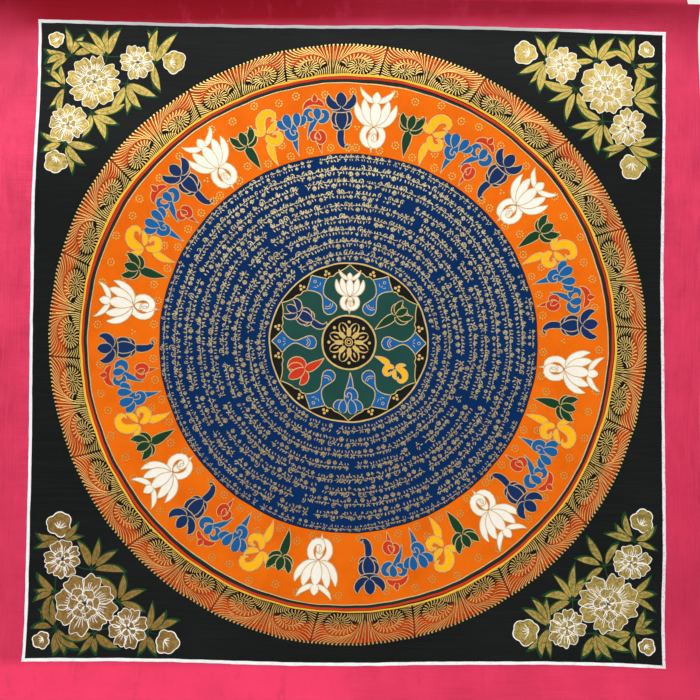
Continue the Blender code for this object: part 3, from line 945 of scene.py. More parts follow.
SPRAY_FANS = (
    Fan(-222.2, -53.6, 14, 100, 3, 18), Fan(-222.2, -53.6, 172, 228, 3, 18),
    Fan(-192.9, -54.1, 60, 152, 4, 20), Fan(-155.0, -59.4, 52, 108, 3, 22),
    Fan(-155.0, -59.4, -88, -70, 2, 17), Fan(-176.0, -75.0, -122, -28, 4, 20),
    Fan(-225.2, -79.7, 100, 168, 3, 17), Fan(-225.2, -79.7, 238, 264, 2, 19),
    Fan(-203.6, -99.7, -104, 14, 4, 20), Fan(-223.0, -124.7, -74, -8, 3, 19),
    Fan(-223.0, -124.7, 152, 204, 2, 18), Fan(158.7, -50.5, 204, 256, 3, 20),
    Fan(158.7, -50.5, 66, 118, 2, 18), Fan(200.0, -49.7, 14, 190, 5, 17),
    Fan(228.3, -52.8, 84, 146, 3, 18), Fan(228.3, -52.8, -68, 6, 3, 16),
    Fan(227.4, -80.6, -38, 66, 4, 21), Fan(182.3, -72.7, 166, 296, 4, 21),
    Fan(204.4, -99.2, 150, 298, 5, 19), Fan(223.9, -118.6, -44, 12, 3, 21),
    Fan(223.9, -118.6, 190, 208, 2, 17), Fan(-221.4, -439.4, 162, 200, 2, 19),
    Fan(-221.4, -439.4, 8, 52, 2, 15), Fan(-197.3, -461.1, -8, 122, 4, 20),
    Fan(-224.7, -478.4, 138, 248, 4, 19), Fan(-175.5, -486.2, -20, 126, 4, 20),
    Fan(-223.5, -506.2, 104, 184, 3, 16), Fan(-223.5, -506.2, 266, 322, 3, 21),
    Fan(-193.2, -510.3, 186, 330, 4, 19), Fan(-151.7, -508.5, 18, 88, 3, 18),
    Fan(-151.7, -508.5, 246, 290, 2, 20), Fan(231.6, -433.7, 110, 172, 3, 18),
    Fan(231.6, -433.7, -22, 32, 2, 16), Fan(209.1, -453.8, 66, 218, 4, 18),
    Fan(230.0, -478.1, -34, 48, 3, 20), Fan(183.7, -481.0, 52, 212, 5, 20),
    Fan(164.4, -502.6, 96, 144, 3, 19), Fan(164.4, -502.6, 230, 280, 3, 21),
    Fan(201.9, -506.4, 236, 336, 4, 21), Fan(231.8, -505.8, 186, 268, 3, 18),
    Fan(231.8, -505.8, 2, 62, 3, 17),
)


def petal_grid(radius_in, radius_out, middle, half_turn, lobes, ruffle, rows=7, columns=17):
    """A petal as a grid: its sides swell out from a narrow root and its outer edge is ruffled.

    At u across (-1 to 1) and v along (0 to 1) it lies at the angle middle + u * half_turn *
    (0.55 + 0.45 * sin(pi / 2 * v)) and at the reach in + (out * edge(u) - in) * v, where edge(u)
    is 1 - 0.22 * abs(u) ** 3.4, less a share of a cosine with that many lobes, shifted by ruffle.
    """
    v, u = np.meshgrid(np.linspace(0.0, 1.0, rows), np.linspace(-1.0, 1.0, columns), indexing="ij")
    wave = 0.048 * (1.0 - np.cos(lobes * np.pi * (u + 1.0) + ruffle))
    edge = 1.0 - 0.22 * np.abs(u) ** 3.4 - wave - 0.018 * np.sin(8.0 * u + 3.0 * ruffle)
    angle = middle + u * half_turn * (0.55 + 0.45 * np.sin(0.5 * np.pi * v))
    reach = radius_in + (radius_out * edge - radius_in) * v
    return clock(angle, reach)


def between(grid, across, along):
    """Points on a petal's grid at across (-1 to 1) and along (0 to 1), between its grid points."""
    rows, columns = grid.shape[:2]
    row = np.clip(along, 0.0, 1.0) * (rows - 1)
    column = (np.clip(across, -1.0, 1.0) + 1.0) * 0.5 * (columns - 1)
    low, left = np.minimum(row.astype(int), rows - 2), np.minimum(column.astype(int), columns - 2)
    up, side = (row - low)[..., None], (column - left)[..., None]
    near = grid[low, left] * (1.0 - side) + grid[low, left + 1] * side
    far = grid[low + 1, left] * (1.0 - side) + grid[low + 1, left + 1] * side
    return near * (1.0 - up) + far * up


def paint_petal(paints, grid, coat, line, streaks, wander):
    """One gold petal: a white line round its rim, and white streaks that fan out of its root."""
    paints["fill"].grids(grid, coat)
    rim = np.concatenate([grid[1:, 0], grid[-1, 1:-1], grid[:0:-1, -1]])
    thick = 0.90 + 0.22 * np.sin(np.linspace(0.4, 5.6, len(rim)) + wander.uniform(0.0, 3.0))
    paints["white"].strokes(rim, line * thick, coat + ORDER_STEP, 0.06)
    if not streaks:
        return
    across = np.linspace(-0.74, 0.74, streaks) + wander.uniform(-0.08, 0.08, size=streaks)
    start = wander.uniform(0.08, 0.30, size=streaks)
    reach = wander.uniform(0.58, 0.82, size=streaks) * (1.0 - 0.16 * np.abs(across))
    t = np.linspace(0.0, 1.0, 6)
    aside = across[:, None] * (0.82 + 0.18 * t) + wander.uniform(-0.16, 0.16) * t ** 2
    path = between(grid, aside, start[:, None] + (reach - start)[:, None] * t)
    paints["white"].strokes(path, taper(0.58 * line, 0.88 * line, 6), coat + ORDER_STEP, 0.05)


def paint_bud(paints, spot, turn, radius, line, wander):
    """One bud: a round cup with a wavy rim, narrower at its foot, and a tuft of white rays.

    At an angle a from its tip the rim lies at radius * (0.90 - 0.10 * (1 - cos(a)) + 0.06 *
    cos(3 * a + shift) + 0.14 * abs(sin(3 * a + 0.7 * shift))) from its middle, in six scallops.
    """
    shift = wander.uniform(0.0, 6.0)
    a = np.linspace(-np.pi, np.pi, 49)
    scallops = 0.14 * np.abs(np.sin(3 * a + 0.7 * shift))
    reach = 0.90 - 0.10 * (1.0 - np.cos(a)) + 0.06 * np.cos(3 * a + shift) + scallops
    rim = radius * reach[:, None] * unit(turn + a)
    paints["fill"].grids(spot + np.linspace(0.02, 1.0, 5)[:, None, None] * rim, BUD_COAT)
    thick = line * (1.0 + 0.18 * np.sin(2.0 * a + shift))
    paints["white"].strokes(spot + rim, thick, BUD_COAT + ORDER_STEP, 0.02)
    foot = spot - radius * wander.uniform(0.15, 0.32) * unit(turn)
    rays = turn + np.radians((-62.0, -34.0, -8.0, 18.0, 46.0)) + wander.uniform(-0.10, 0.10, size=5)
    length = radius * wander.uniform(0.46, 0.72, size=5)
    along = length[:, None] * np.linspace(0.12, 1.0, 5)
    path = foot + along[..., None] * unit(rays)[:, None]
    paints["white"].strokes(path, taper(0.80, 0.50, 5), BUD_COAT + ORDER_STEP, 0.02)


# Whorls of a flower: petals, reach of their roots and tips as shares of its radius, lobes, streaks
Whorl = namedtuple("Whorl", "petals root tip lobes streaks turn")
PEONY = (
    Whorl(8, 0.20, 1.07, 2.3, 7, 0.0), Whorl(6, 0.08, 0.55, 1.4, 3, 0.5), Whorl(4, 0.02, 0.29, 1.0, 1, 0.2),
)
SMALL_FLOWER = (
    Whorl(8, 0.18, 1.06, 1.8, 4, 0.0), Whorl(5, 0.04, 0.45, 1.2, 1, 0.4),
)


def paint_flower(paints, flower, wander):
    """One flower: whorls of petals, each over the one outside it, or a bud's round cup."""
    spot = np.array([flower.x, flower.z])
    turn, radius = np.radians(flower.turn), flower.radius
    lower = flower.z < CENTRE[1]
    line = 0.64 if lower else 0.60
    if flower.kind == "bud":
        paint_bud(paints, spot, turn, radius, 1.15 * line, wander)
        return
    coat = MOTIF_COAT
    for whorl in (PEONY if flower.kind == "peony" else SMALL_FLOWER):
        for number in range(whorl.petals):
            middle = turn + whorl.turn + (number + wander.uniform(-0.12, 0.12)) * 2.0 * np.pi / whorl.petals
            half_turn = np.pi / whorl.petals * wander.uniform(0.98, 1.22)
            tip = whorl.tip * radius * wander.uniform(0.88, 1.04)
            ruffle = wander.uniform(0.0, 6.0)
            grid = petal_grid(whorl.root * radius, tip, middle, half_turn, whorl.lobes, ruffle)
            shift = 0.05 * radius * wander.normal(size=2)
            streaks = whorl.streaks - whorl.streaks // 3 if lower else whorl.streaks
            paint_petal(paints, grid + spot + shift * (1.0 - whorl.tip), coat, line, streaks, wander)
            coat += ORDER_STEP
    marks = spot + wander.normal(size=(8 if flower.kind == "peony" else 4, 2)) * radius * 0.06
    paints["marks"].dots(marks, 0.42, coat + ORDER_STEP, 0.05, sides=6)


def spray_leaves(wander):
    """Leaves of every fan, and thin stems from each fan to the two flowers nearest to it."""
    leaves, stems = [], []
    flowers = np.array([(flower.x, flower.z) for flower in SPRAY_FLOWERS])
    for fan in SPRAY_FANS:
        foot = np.array([fan.x, fan.z])
        for number, heading in enumerate(np.linspace(fan.first, fan.last, fan.count)):
            length = fan.length * wander.uniform(1.00, 1.34)
            width = length * wander.uniform(0.20, 0.27)
            aside = np.sign(number - 0.5 * (fan.count - 1) + wander.uniform(-0.4, 0.4))
            bend = aside * wander.uniform(14.0, 58.0)
            heading = heading + wander.uniform(-6.0, 6.0)
            away = wander.uniform(1.5, 4.5) * unit(np.radians(heading))
            peak = wander.uniform(0.38, 0.50)
            start = heading - 0.5 * bend
            leaves.append(Leaf(*(foot + away), start, length - 2.0, width, bend, 0.0, peak, 1.75))
            stems.append(bezier(foot, foot + 0.5 * away, foot + 2.2 * away, 7))
        for near in np.argsort(np.linalg.norm(flowers - foot, axis=1))[:2]:
            aside = np.array([-(flowers[near] - foot)[1], (flowers[near] - foot)[0]])
            middle = 0.5 * (foot + flowers[near]) + 0.14 * aside
            stems.append(bezier(foot, middle, flowers[near], 7))
    leaves = np.array(leaves)
    for _ in range(6):
        tips = leaf_lines(leaves, 6)[0][:, -1]
        x, z = tips[:, 0] - SPRAY_MIDDLE, tips[:, 1]
        outside = (np.abs(x) > SPRAY_REACH) | (z > SPRAY_TOP) | (z < SPRAY_BOTTOM)
        leaves[outside, Leaf._fields.index("length")] *= 0.88
    return [Leaf(*leaf) for leaf in leaves], np.stack(stems)


def paint_sprays(looks):
    """Four sprays: fans of gold leaves edged in green, and gold flowers drawn over in white."""
    wander = np.random.default_rng(23)
    leaves, stems = spray_leaves(wander)
    longer = [leaf._replace(length=leaf.length + 3.0, width=leaf.width + 1.45) for leaf in leaves]
    order = (np.arange(len(leaves)) % 6)[:, None, None] * 0.012
    green = Paint()
    green.strokes(stems, 0.85, BUD_COAT - 0.015, 0.01)
    green.grids(leaf_fills(longer), LINE_COAT - 0.03 + order)
    green.piece("spray_leaf_edges", looks["spray_green"], "bright_paint")
    gold = Paint()
    gold.grids(leaf_fills(leaves), LINE_COAT - 0.024 + order)
    gold.piece("spray_leaves", looks["leaf_gold"], "gold_paint")
    veins = Paint()
    line, _, _ = leaf_lines(leaves, 8)
    veins.strokes(line[:, :-2], 0.34, LINE_COAT + 0.045, 0.01)
    veins.piece("spray_leaf_veins", looks["vein_gold"], "gold_paint")

    paints = {"fill": Paint(), "white": Paint(), "marks": Paint()}
    for flower in sorted(SPRAY_FLOWERS, key=lambda item: item.kind != "bud"):
        paint_flower(paints, flower, wander)
    paints["fill"].piece("spray_flowers", looks["flower_gold"], "gold_paint")
    paints["white"].piece("spray_flower_lines", looks["line_white"], "bright_paint")
    paints["marks"].piece("spray_flower_marks", looks["navy"], "bright_paint")


# --- Materials ------------------------------------------------------------------------------
THREAD = 0.00078              # spacing of the canvas threads, in metres
ONE_BAND = 0.314159           # scale at which a wave texture has one band in each metre


class Nodes:
    """Short ways to lay out a node tree."""

    def __init__(self, tree):
        self.tree = tree

    def feed(self, node, inputs):
        """Sets inputs of a node, by name or number, to numbers, colours or other sockets."""
        for key, given in inputs.items():
            socket = node.inputs[key]
            if isinstance(given, bpy.types.NodeSocket):
                self.tree.links.new(given, socket)
            elif socket.type == "RGBA":
                socket.default_value = (*given, 1.0)
            else:
                socket.default_value = given

    def node(self, kind, inputs, **settings):
        """A new node of a kind, with its settings and inputs."""
        node = self.tree.nodes.new("ShaderNode" + kind)
        for name, value in settings.items():
            setattr(node, name, value)
        self.feed(node, inputs)
        return node

    def axes(self, vector):
        """The x and the z of a vector, as sockets."""
        parts = self.node("SeparateXYZ", {"Vector": vector}).outputs
        return parts["X"], parts["Z"]

    def spread(self, value, low, high, to_low=0.0, to_high=1.0):
        """Stretches a value from low..high to to_low..to_high, and holds it there beyond."""
        inputs = {"Value": value, "From Min": low, "From Max": high, "To Min": to_low, "To Max": to_high}
        return self.node("MapRange", inputs).outputs["Result"]

    def plus(self, first, second):
        return self.node("Math", {0: first, 1: second}, operation="ADD").outputs["Value"]

    def minus(self, first, second):
        return self.node("Math", {0: first, 1: second}, operation="SUBTRACT").outputs["Value"]

    def times(self, first, second):
        return self.node("Math", {0: first, 1: second}, operation="MULTIPLY").outputs["Value"]

    def mix(self, share, first, second):
        """Mixes two colours or heights by a share."""
        inputs = {0: share, 6: first, 7: second}
        return self.node("Mix", inputs, data_type="RGBA", clamp_factor=True).outputs[2]

    def tint(self, colour, towards, share, most):
        """Draws a colour towards another, by a share of the most it may be drawn."""
        return self.mix(self.times(share, most), colour, towards)


class Look(Nodes):
    """A material on the object's own coordinates."""

    def __init__(self, name):
        self.material = bpy.data.materials.new(name)
        self.material.use_nodes = True
        super().__init__(self.material.node_tree)
        self.shader = self.tree.nodes["Principled BSDF"]
        self.place = self.node("TexCoord", {}).outputs["Object"]

    def noise(self, scale, detail=3.0, roughness=0.55, distortion=0.0, vector=None):
        """Noise from 0 to 1 on the object's coordinates, or on another vector."""
        inputs = {"Vector": self.place if vector is None else vector, "Scale": scale, "Detail": detail}
        inputs.update({"Roughness": roughness, "Distortion": distortion})
        return self.node("TexNoise", inputs).outputs["Fac"]

    def patches(self, scale, low, high, **shape):
        """Noise made into patches: nothing where it is below low, whole where it is above high."""
        return self.spread(self.noise(scale, **shape), low, high)

    def drawn_noise(self, scale, detail, roughness):
        """Noise that is finer along some axes than along others."""
        drawn = self.node("Mapping", {"Vector": self.place, "Scale": scale}).outputs["Vector"]
        return self.noise(1.0, detail, roughness, vector=drawn)

    def brush_marks(self, along_x=True):
        """Streaks left by a flat brush: noise drawn out long one way and fine the other."""
        return self.drawn_noise((26.0, 26.0, 900.0) if along_x else (900.0, 26.0, 26.0), 4.0, 0.6)

    def weave(self):
        """Height of a plain weave: threads across and threads down, each a little uneven."""
        inputs = {"Vector": self.place, "Scale": ONE_BAND / THREAD, "Distortion": 1.2}
        inputs.update({"Detail": 1.0, "Detail Scale": 0.35})
        across, down = [self.node("TexWave", inputs, bands_direction=way).outputs["Fac"] for way in "XZ"]
        return self.times(self.plus(across, down), self.plus(self.noise(260.0, detail=1.0), 0.25))

    def relief(self, *heights, distance=0.00006, strength=0.6):
        """Joins heights into one bump of the surface; each comes with its share."""
        total = self.times(*heights[0])
        for height, share in heights[1:]:
            total = self.plus(total, self.times(height, share))
        bump = self.node("Bump", {"Strength": strength, "Distance": distance, "Height": total})
        self.feed(self.shader, {"Normal": bump.outputs["Normal"]})

    def finish(self, colour, roughness, **others):
        """Feeds the shader; others are more of its inputs, by name."""
        self.feed(self.shader, {"Base Color": colour, "Roughness": roughness})
        for name, value in others.items():
            self.shader.inputs[name.replace("_", " ")].default_value = value
        return self.material


def paint_look(name, colour, shade, gloss=0.14, cloud=0.35):
    """Opaque paint on canvas: clouded between its colour and its shade, streaked, with the weave."""
    look = Look(name)
    clouds = look.patches(38.0, 0.38, 0.68, detail=4.0)
    specks = look.patches(1500.0, 0.40, 0.75, detail=2.0)
    share = look.plus(look.times(clouds, cloud), look.times(specks, 0.25))
    look.relief((look.weave(), 0.5), (look.brush_marks(), 0.6), (specks, 0.25))
    roughness = look.spread(specks, 0.0, 1.0, 0.49, 0.65)
    return look.finish(look.mix(share, colour, shade), roughness, Specular_IOR_Level=gloss)


# The most that gold gains in brightness from its painted highlight at the upper right, what of its shade
# colour stays where painted shade darkens it lower down, and the brown of its painted shade at the lower left
GOLD_HIGHLIGHT_GAIN = 1.45
LOW_GOLD_SHADE = (0.40, 0.15, 0.11)
LEFT_GOLD_SHADE = (0.24, 0.060, 0.018)


def gold_look(name, colour, shade, metallic=0.75, low_shade=0.0, below=-0.17, left_shade=0.0):
    """Gold paint: metal flakes in a binder, with a painted highlight at the upper right and painted shade
    lower down.

    The argument after metallic, 0 to 1, is how much painted shade darkens it towards the bottom of the cloth,
    from a height of below downwards; the last, 0 to 1, is how much painted shade browns it at the lower left.
    of below downwards.  tarnish, 0 to 1, is how brown it has gone at the lower left.
    """
    look = Look(name)
    x, z = look.axes(look.place)
    clouds = look.patches(90.0, 0.35, 0.68, detail=4.0)
    flakes = look.patches(2600.0, 0.38, 0.70, detail=2.0)
    dabs = look.patches(460.0, 0.40, 0.62, detail=3.0, roughness=0.65, distortion=0.6)
    share = look.plus(look.times(clouds, 0.30), look.times(flakes, 0.20))
    laid = look.mix(look.plus(share, look.times(dabs, 0.62)), colour, shade)
    # Painted highlight: the gold brighter towards the upper right, where it catches the light
    painted_highlight = look.times(look.spread(x, 0.02, 0.20), look.spread(z, -0.42, -0.10))
    painted_highlight = look.times(painted_highlight, look.minus(1.0, look.times(dabs, 0.30)))
    bright = tuple(min(GOLD_HIGHLIGHT_GAIN, 1.0 / max(colour)) * part for part in colour)
    laid = look.tint(laid, bright, painted_highlight, 0.88)
    # Painted shade: the gold darker towards the bottom of the cloth, where it catches less light
    thin = tuple(part * left for part, left in zip(shade, LOW_GOLD_SHADE))
    laid = look.tint(laid, thin, look.spread(z, below, below - 0.26), low_shade)
    # Painted shade: the gold browner and darker at the lower left
    left_shade_mask = look.times(look.spread(x, 0.02, -0.12), look.spread(z, -0.26, -0.42))
    laid = look.tint(laid, LEFT_GOLD_SHADE, left_shade_mask, left_shade)
    look.relief((look.weave(), 0.4), (flakes, 0.8), distance=0.00005, strength=0.5)
    return look.finish(laid, look.spread(flakes, 0.0, 1.0, 0.28, 0.50), Metallic=metallic)


def ground_black_look(name):
    """Black ground: matt with a faint sheen, greyer in cloudy patches, with long brush streaks."""
    look = Look(name)
    marks = look.brush_marks()
    streaks = look.spread(marks, 0.45, 0.72)
    clouds = look.patches(12.0, 0.35, 0.70, detail=5.0)
    dust = look.patches(2200.0, 0.60, 0.78, detail=2.0)
    colour = look.mix(clouds, (0.0040, 0.0050, 0.0048), (0.0066, 0.0078, 0.0076))
    colour = look.tint(colour, (0.014, 0.0155, 0.016), streaks, 0.45)
    colour = look.tint(colour, (0.030, 0.032, 0.033), dust, 0.35)
    look.relief((look.weave(), 0.6), (marks, 0.8), strength=0.7)
    return look.finish(colour, look.spread(streaks, 0.0, 1.0, 0.60, 0.48), Specular_IOR_Level=0.10)


def margin_look():
    """Crimson margin: brushed along each side, rubbed, specked and darker lower down; painted shade on the
    curl and the right side, a painted highlight at the foot.
    """
    look = Look("crimson_margin_paint")
    x, z = look.axes(look.place)
    aside = look.node("Math", {0: x}, operation="ABSOLUTE").outputs["Value"]
    beside = look.spread(aside, 0.238, 0.272)
    streaks = look.mix(beside, look.brush_marks(), look.brush_marks(along_x=False))
    streak = look.spread(streaks, 0.36, 0.66)
    clouds = look.patches(24.0, 0.40, 0.64, detail=6.0, roughness=0.62)
    fine = look.patches(1400.0, 0.36, 0.72, detail=2.0)
    colour = look.mix(clouds, (0.81, 0.052, 0.134), (0.56, 0.030, 0.090))
    colour = look.tint(colour, (0.93, 0.092, 0.195), streak, 0.46)
    colour = look.tint(colour, (0.50, 0.012, 0.050), fine, 0.22)
    colour = look.tint(colour, (0.50, 0.018, 0.064), look.spread(z, -0.16, -0.46), 0.50)

    # Painted highlight: the last strip at the foot, where the flare faces the light, is brighter, most at its
    # left
    rightward = look.spread(x, -0.02, 0.05)
    foot = look.times(look.spread(z, -0.528, -0.536), look.minus(0.85, look.times(rightward, 0.50)))
    foot = look.times(foot, look.minus(1.06, look.times(clouds, 0.24)))
    colour = look.mix(foot, colour, (0.92, 0.052, 0.145))

    # Duller high on the left; painted shade down the right side, and deep red painted shade on the curl,
    # which faces away from the light
    shoulder = look.times(look.spread(z, -0.15, -0.05), look.spread(x, 0.0, -0.25, 0.30, 0.60))
    colour = look.mix(shoulder, colour, (0.50, 0.040, 0.100))
    colour = look.tint(colour, (0.46, 0.020, 0.062), look.spread(x, 0.22, 0.25), 0.24)
    slanting = look.spread(look.minus(z, look.times(x, 0.033)), -0.034, -0.018)
    high = look.mix(beside, slanting, look.spread(z, -0.060, -0.008))
    fading = look.times(look.spread(x, -0.04, 0.03), 0.15)
    corner = look.times(look.spread(x, 0.18, 0.26), 0.22)
    share = look.minus(0.95, look.plus(fading, corner))
    colour = look.mix(look.times(high, share), colour, (0.24, 0.0, 0.006))

    scuffs = look.spread(look.drawn_noise((60.0, 60.0, 22.0), 6.0, 0.7), 0.56, 0.76)
    colour = look.tint(colour, (0.46, 0.026, 0.075), scuffs, 0.60)
    colour = look.tint(colour, (0.40, 0.010, 0.040), look.patches(900.0, 0.66, 0.80, detail=2.0), 0.30)
    look.relief((look.weave(), 0.7), (streaks, 0.9), (scuffs, 0.5), strength=0.8)
    return look.finish(colour, look.spread(streak, 0.0, 1.0, 0.62, 0.50), Specular_IOR_Level=0.09)


def cotton_look():
    """Back of the canvas: sized raw cotton, with faint patches where the paint has soaked in."""
    look = Look("raw_cotton_back")
    thread = look.weave()
    stain = look.patches(21.0, 0.60, 0.78, detail=6.0, roughness=0.65)
    colour = look.mix(look.patches(9.0, 0.36, 0.68, detail=5.0), (0.74, 0.70, 0.61), (0.64, 0.59, 0.50))
    colour = look.tint(colour, (0.84, 0.81, 0.74), thread, 0.30)
    colour = look.tint(colour, (0.50, 0.36, 0.33), stain, 0.22)
    look.relief((thread, 1.0), distance=0.00012, strength=0.9)
    return look.finish(colour, 0.90, Specular_IOR_Level=0.15, Sheen_Weight=0.15)


def cut_edge_look():
    """Cut edge of the cloth: cotton threads with crimson run over them."""
    look = Look("cut_edge")
    fibres = look.patches(900.0, 0.35, 0.65, detail=3.0)
    look.relief((fibres, 1.0), distance=0.00010, strength=0.8)
    return look.finish(look.mix(fibres, (0.52, 0.04, 0.09), (0.70, 0.50, 0.46)), 0.85)


def filigree_ground_look():
    """Ground of the filigree: black in its inner half, red to orange in clouds outside it."""
    look = Look("filigree_ground_paint")
    centre = (CENTRE[0] * MM, 0.0, CENTRE[1] * MM)
    centred = look.node("VectorMath", {0: look.place, 1: centre}, operation="SUBTRACT").outputs["Vector"]
    flat = look.node("VectorMath", {0: centred, 1: (1.0, 0.0, 1.0)}, operation="MULTIPLY").outputs["Vector"]
    length = look.node("VectorMath", {0: flat}, operation="LENGTH").outputs["Value"]
    radius = look.plus(length, look.times(look.noise(160.0), 0.0050))
    x, z = look.axes(look.place)
    radius = look.plus(radius, look.spread(z, -0.38, -0.48, 0.0, 0.0024))
    radius = look.minus(radius, look.spread(x, 0.05, 0.20, 0.0, 0.0012))
    inner = FILIGREE_IN * MM
    reddened = look.spread(radius, inner + 0.0114, inner + 0.0150)
    clouds = look.patches(120.0, 0.36, 0.64)
    red = look.mix(clouds, (0.37, 0.022, 0.002), (0.51, 0.058, 0.003))
    look.relief((look.weave(), 0.5), (clouds, 0.3))
    return look.finish(look.mix(reddened, (0.006, 0.005, 0.004), red), 0.60, Specular_IOR_Level=0.08)


def line_white_look():
    """White of the frame line: opaque, but thin enough in spots for the crimson to show."""
    look = Look("frame_white_paint")
    x, z = look.axes(look.place)
    rightward = look.spread(x, 0.235, 0.250)
    thin = look.patches(700.0, 0.54, 0.66)
    pink = look.times(thin, look.plus(look.times(rightward, 0.66), 0.05))
    clouds = look.patches(300.0, 0.40, 0.70)
    white = look.mix(clouds, (0.90, 0.91, 0.92), (0.80, 0.82, 0.84))

    # Painted shade: grey along the top, in the shade of the curl, least at its corners, and a little grey
    # down the right side
    corners = look.plus(look.spread(x, 0.13, 0.24, 0.0, 0.72), look.spread(x, -0.16, -0.25, 0.0, 0.45))
    top_shade = look.times(look.spread(z, -0.046, -0.0280), look.minus(0.92, corners))
    white = look.mix(top_shade, white, (0.39, 0.41, 0.42))
    lower = look.times(rightward, look.spread(z, -0.06, -0.14, 0.0, 0.30))
    white = look.mix(lower, white, (0.56, 0.54, 0.57))
    look.relief((look.weave(), 0.5), (clouds, 0.6), strength=0.7)
    return look.finish(look.mix(pink, white, (0.80, 0.22, 0.32)), 0.48, Specular_IOR_Level=0.35)


def make_looks():
    """Every paint of the picture, by name."""
    return {
        "black": ground_black_look("black_paint"),
        "white": paint_look("white_paint", (0.92, 0.865, 0.76), (0.82, 0.75, 0.64), 0.25, 0.45),
        "line_white": paint_look("fine_white_paint", (0.91, 0.905, 0.85), (0.82, 0.81, 0.75), 0.25),
        "orange": paint_look("orange_paint", (0.82, 0.152, 0.003), (0.68, 0.098, 0.001), 0.05, 0.55),
        "blue": paint_look("ultramarine_paint", (0.0010, 0.0240, 0.105), (0.0006, 0.0172, 0.079), 0.05, 0.5),
        "petal_green": paint_look(
            "petal_green_paint", (0.0095, 0.064, 0.053), (0.0065, 0.044, 0.037), cloud=0.5),
        "leaf_green": paint_look("leaf_green_paint", (0.0048, 0.044, 0.015), (0.0036, 0.030, 0.010)),
        "deep_green": paint_look("deep_green_paint", (0.0040, 0.028, 0.020), (0.0030, 0.020, 0.014)),
        "spray_green": paint_look("spray_green_paint", (0.0075, 0.064, 0.018), (0.0045, 0.036, 0.010)),
        "mid_blue": paint_look("sky_blue_paint", (0.0040, 0.112, 0.345), (0.0032, 0.077, 0.250)),
        "navy": paint_look("navy_paint", (0.0025, 0.024, 0.110), (0.0018, 0.016, 0.080)),
        "red": paint_look("red_paint", (0.60, 0.034, 0.007), (0.46, 0.022, 0.005)),
        "yellow": paint_look("yellow_paint", (0.96, 0.47, 0.004), (0.84, 0.37, 0.003)),
        "ring_yellow": paint_look("ochre_yellow_paint", (0.83, 0.50, 0.030), (0.72, 0.40, 0.018)),
        "divider_red": paint_look("divider_red_paint", (0.10, 0.007, 0.007), (0.06, 0.004, 0.005), 0.25),
        "filigree_gold": gold_look(
            "filigree_gold_paint", (0.99, 0.74, 0.255), (0.84, 0.56, 0.145), low_shade=0.55, below=-0.34),
        "row_gold": gold_look(
            "sprig_gold_paint", (0.98, 0.87, 0.455), (0.48, 0.38, 0.165), 0.72, low_shade=0.44, below=-0.15),
        "pale_gold": gold_look("pale_gold_paint", (0.88, 0.66, 0.34), (0.74, 0.50, 0.22), 0.55),
        "outline_gold": gold_look("outline_gold_paint", (0.80, 0.57, 0.25), (0.64, 0.43, 0.16), 0.6),
        "hub_gold": gold_look("hub_gold_paint", (0.92, 0.66, 0.22), (0.76, 0.50, 0.14), 0.55),
        "dot_gold": gold_look("dot_gold_paint", (0.92, 0.57, 0.14), (0.76, 0.43, 0.08), 0.65, low_shade=0.34),
        "leaf_gold": gold_look(
            "leaf_gold_paint", (0.690, 0.525, 0.130), (0.235, 0.165, 0.030), left_shade=0.42),
        "vein_gold": gold_look("vein_gold_paint", (0.24, 0.16, 0.04), (0.16, 0.11, 0.03), 0.45),
        "flower_gold": gold_look(
            "flower_gold_paint", (0.690, 0.515, 0.140), (0.215, 0.143, 0.032), left_shade=0.42),
    }


# --- The canvas -----------------------------------------------------------------------------
CANVAS_COLUMNS = 158
CANVAS_ROWS = 158
LIP_ROWS = 9
CURL_ROWS = 20
LIP_SHARE = 0.014             # how far down the lip and the curl reach, as shares of the height
CURL_SHARE = 0.070


def make_canvas():
    """The cloth itself: painted face, back and cut edges of one thin sheet on its folds."""
    down = np.concatenate([
        np.linspace(0.0, LIP_SHARE, LIP_ROWS, endpoint=False),
        np.linspace(LIP_SHARE, CURL_SHARE, CURL_ROWS, endpoint=False),
        np.linspace(CURL_SHARE, 1.0, CANVAS_ROWS - LIP_ROWS - CURL_ROWS + 1),
    ])
    width = TOP_RIGHT.x - TOP_LEFT.x
    nip = 1.0 - NIP_WIDTH / width
    across = np.concatenate([
        np.linspace(0.0, nip, CANVAS_COLUMNS - 3, endpoint=False),
        [nip, nip + NIP_STEP / width, 0.5 * (1.0 + nip), 1.0],
    ])
    across_grid, down_grid = np.meshgrid(across, down)
    x, z = outline_point(across_grid, down_grid)
    front = cloth_point(x, z, 0.5 * THICKNESS).reshape(-1, 3)
    back = cloth_point(x, z, -0.5 * THICKNESS).reshape(-1, 3)
    rows, columns = len(down), len(across)
    index = np.arange(rows * columns).reshape(rows, columns)
    shift = rows * columns
    faces = np.stack([index[:-1, :-1], index[1:, :-1], index[1:, 1:], index[:-1, 1:]], axis=-1)
    faces = faces.reshape(-1, 4)
    rim = np.concatenate([index[0, :-1], index[:-1, -1], index[-1, :0:-1], index[:0:-1, 0]])
    after = np.roll(rim, -1)
    edges = np.stack([rim, after, after + shift, rim + shift], axis=-1)
    quads = np.concatenate([faces, faces[:, ::-1] + shift, edges])
    looks = np.repeat([0, 1, 2], [len(faces), len(faces), len(edges)])
    materials = [margin_look(), cotton_look(), cut_edge_look()]
    canvas = new_piece("canvas", np.concatenate([front, back]), quads, materials, looks)
    canvas.data.set_sharp_from_angle(angle=np.radians(50.0))
    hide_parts("painted_canvas")
    return canvas


# --- Studio ---------------------------------------------------------------------------------
CAMERA_PLACE = (-0.0040, -0.6498, -0.2998)
CAMERA_YAW = 0.735            # degrees to the right of straight ahead
CAMERA_PITCH = 1.281          # degrees up
CAMERA_ROLL = 0.803           # degrees
CAMERA_ANGLE = 46.0           # field of view, in degrees
FLOOR_HEIGHT = -1.00
FLOOR_REACH = 6.0             # half the side of the floor
HORIZON = (0.67, 0.665, 0.655)   # surround where it meets the floor


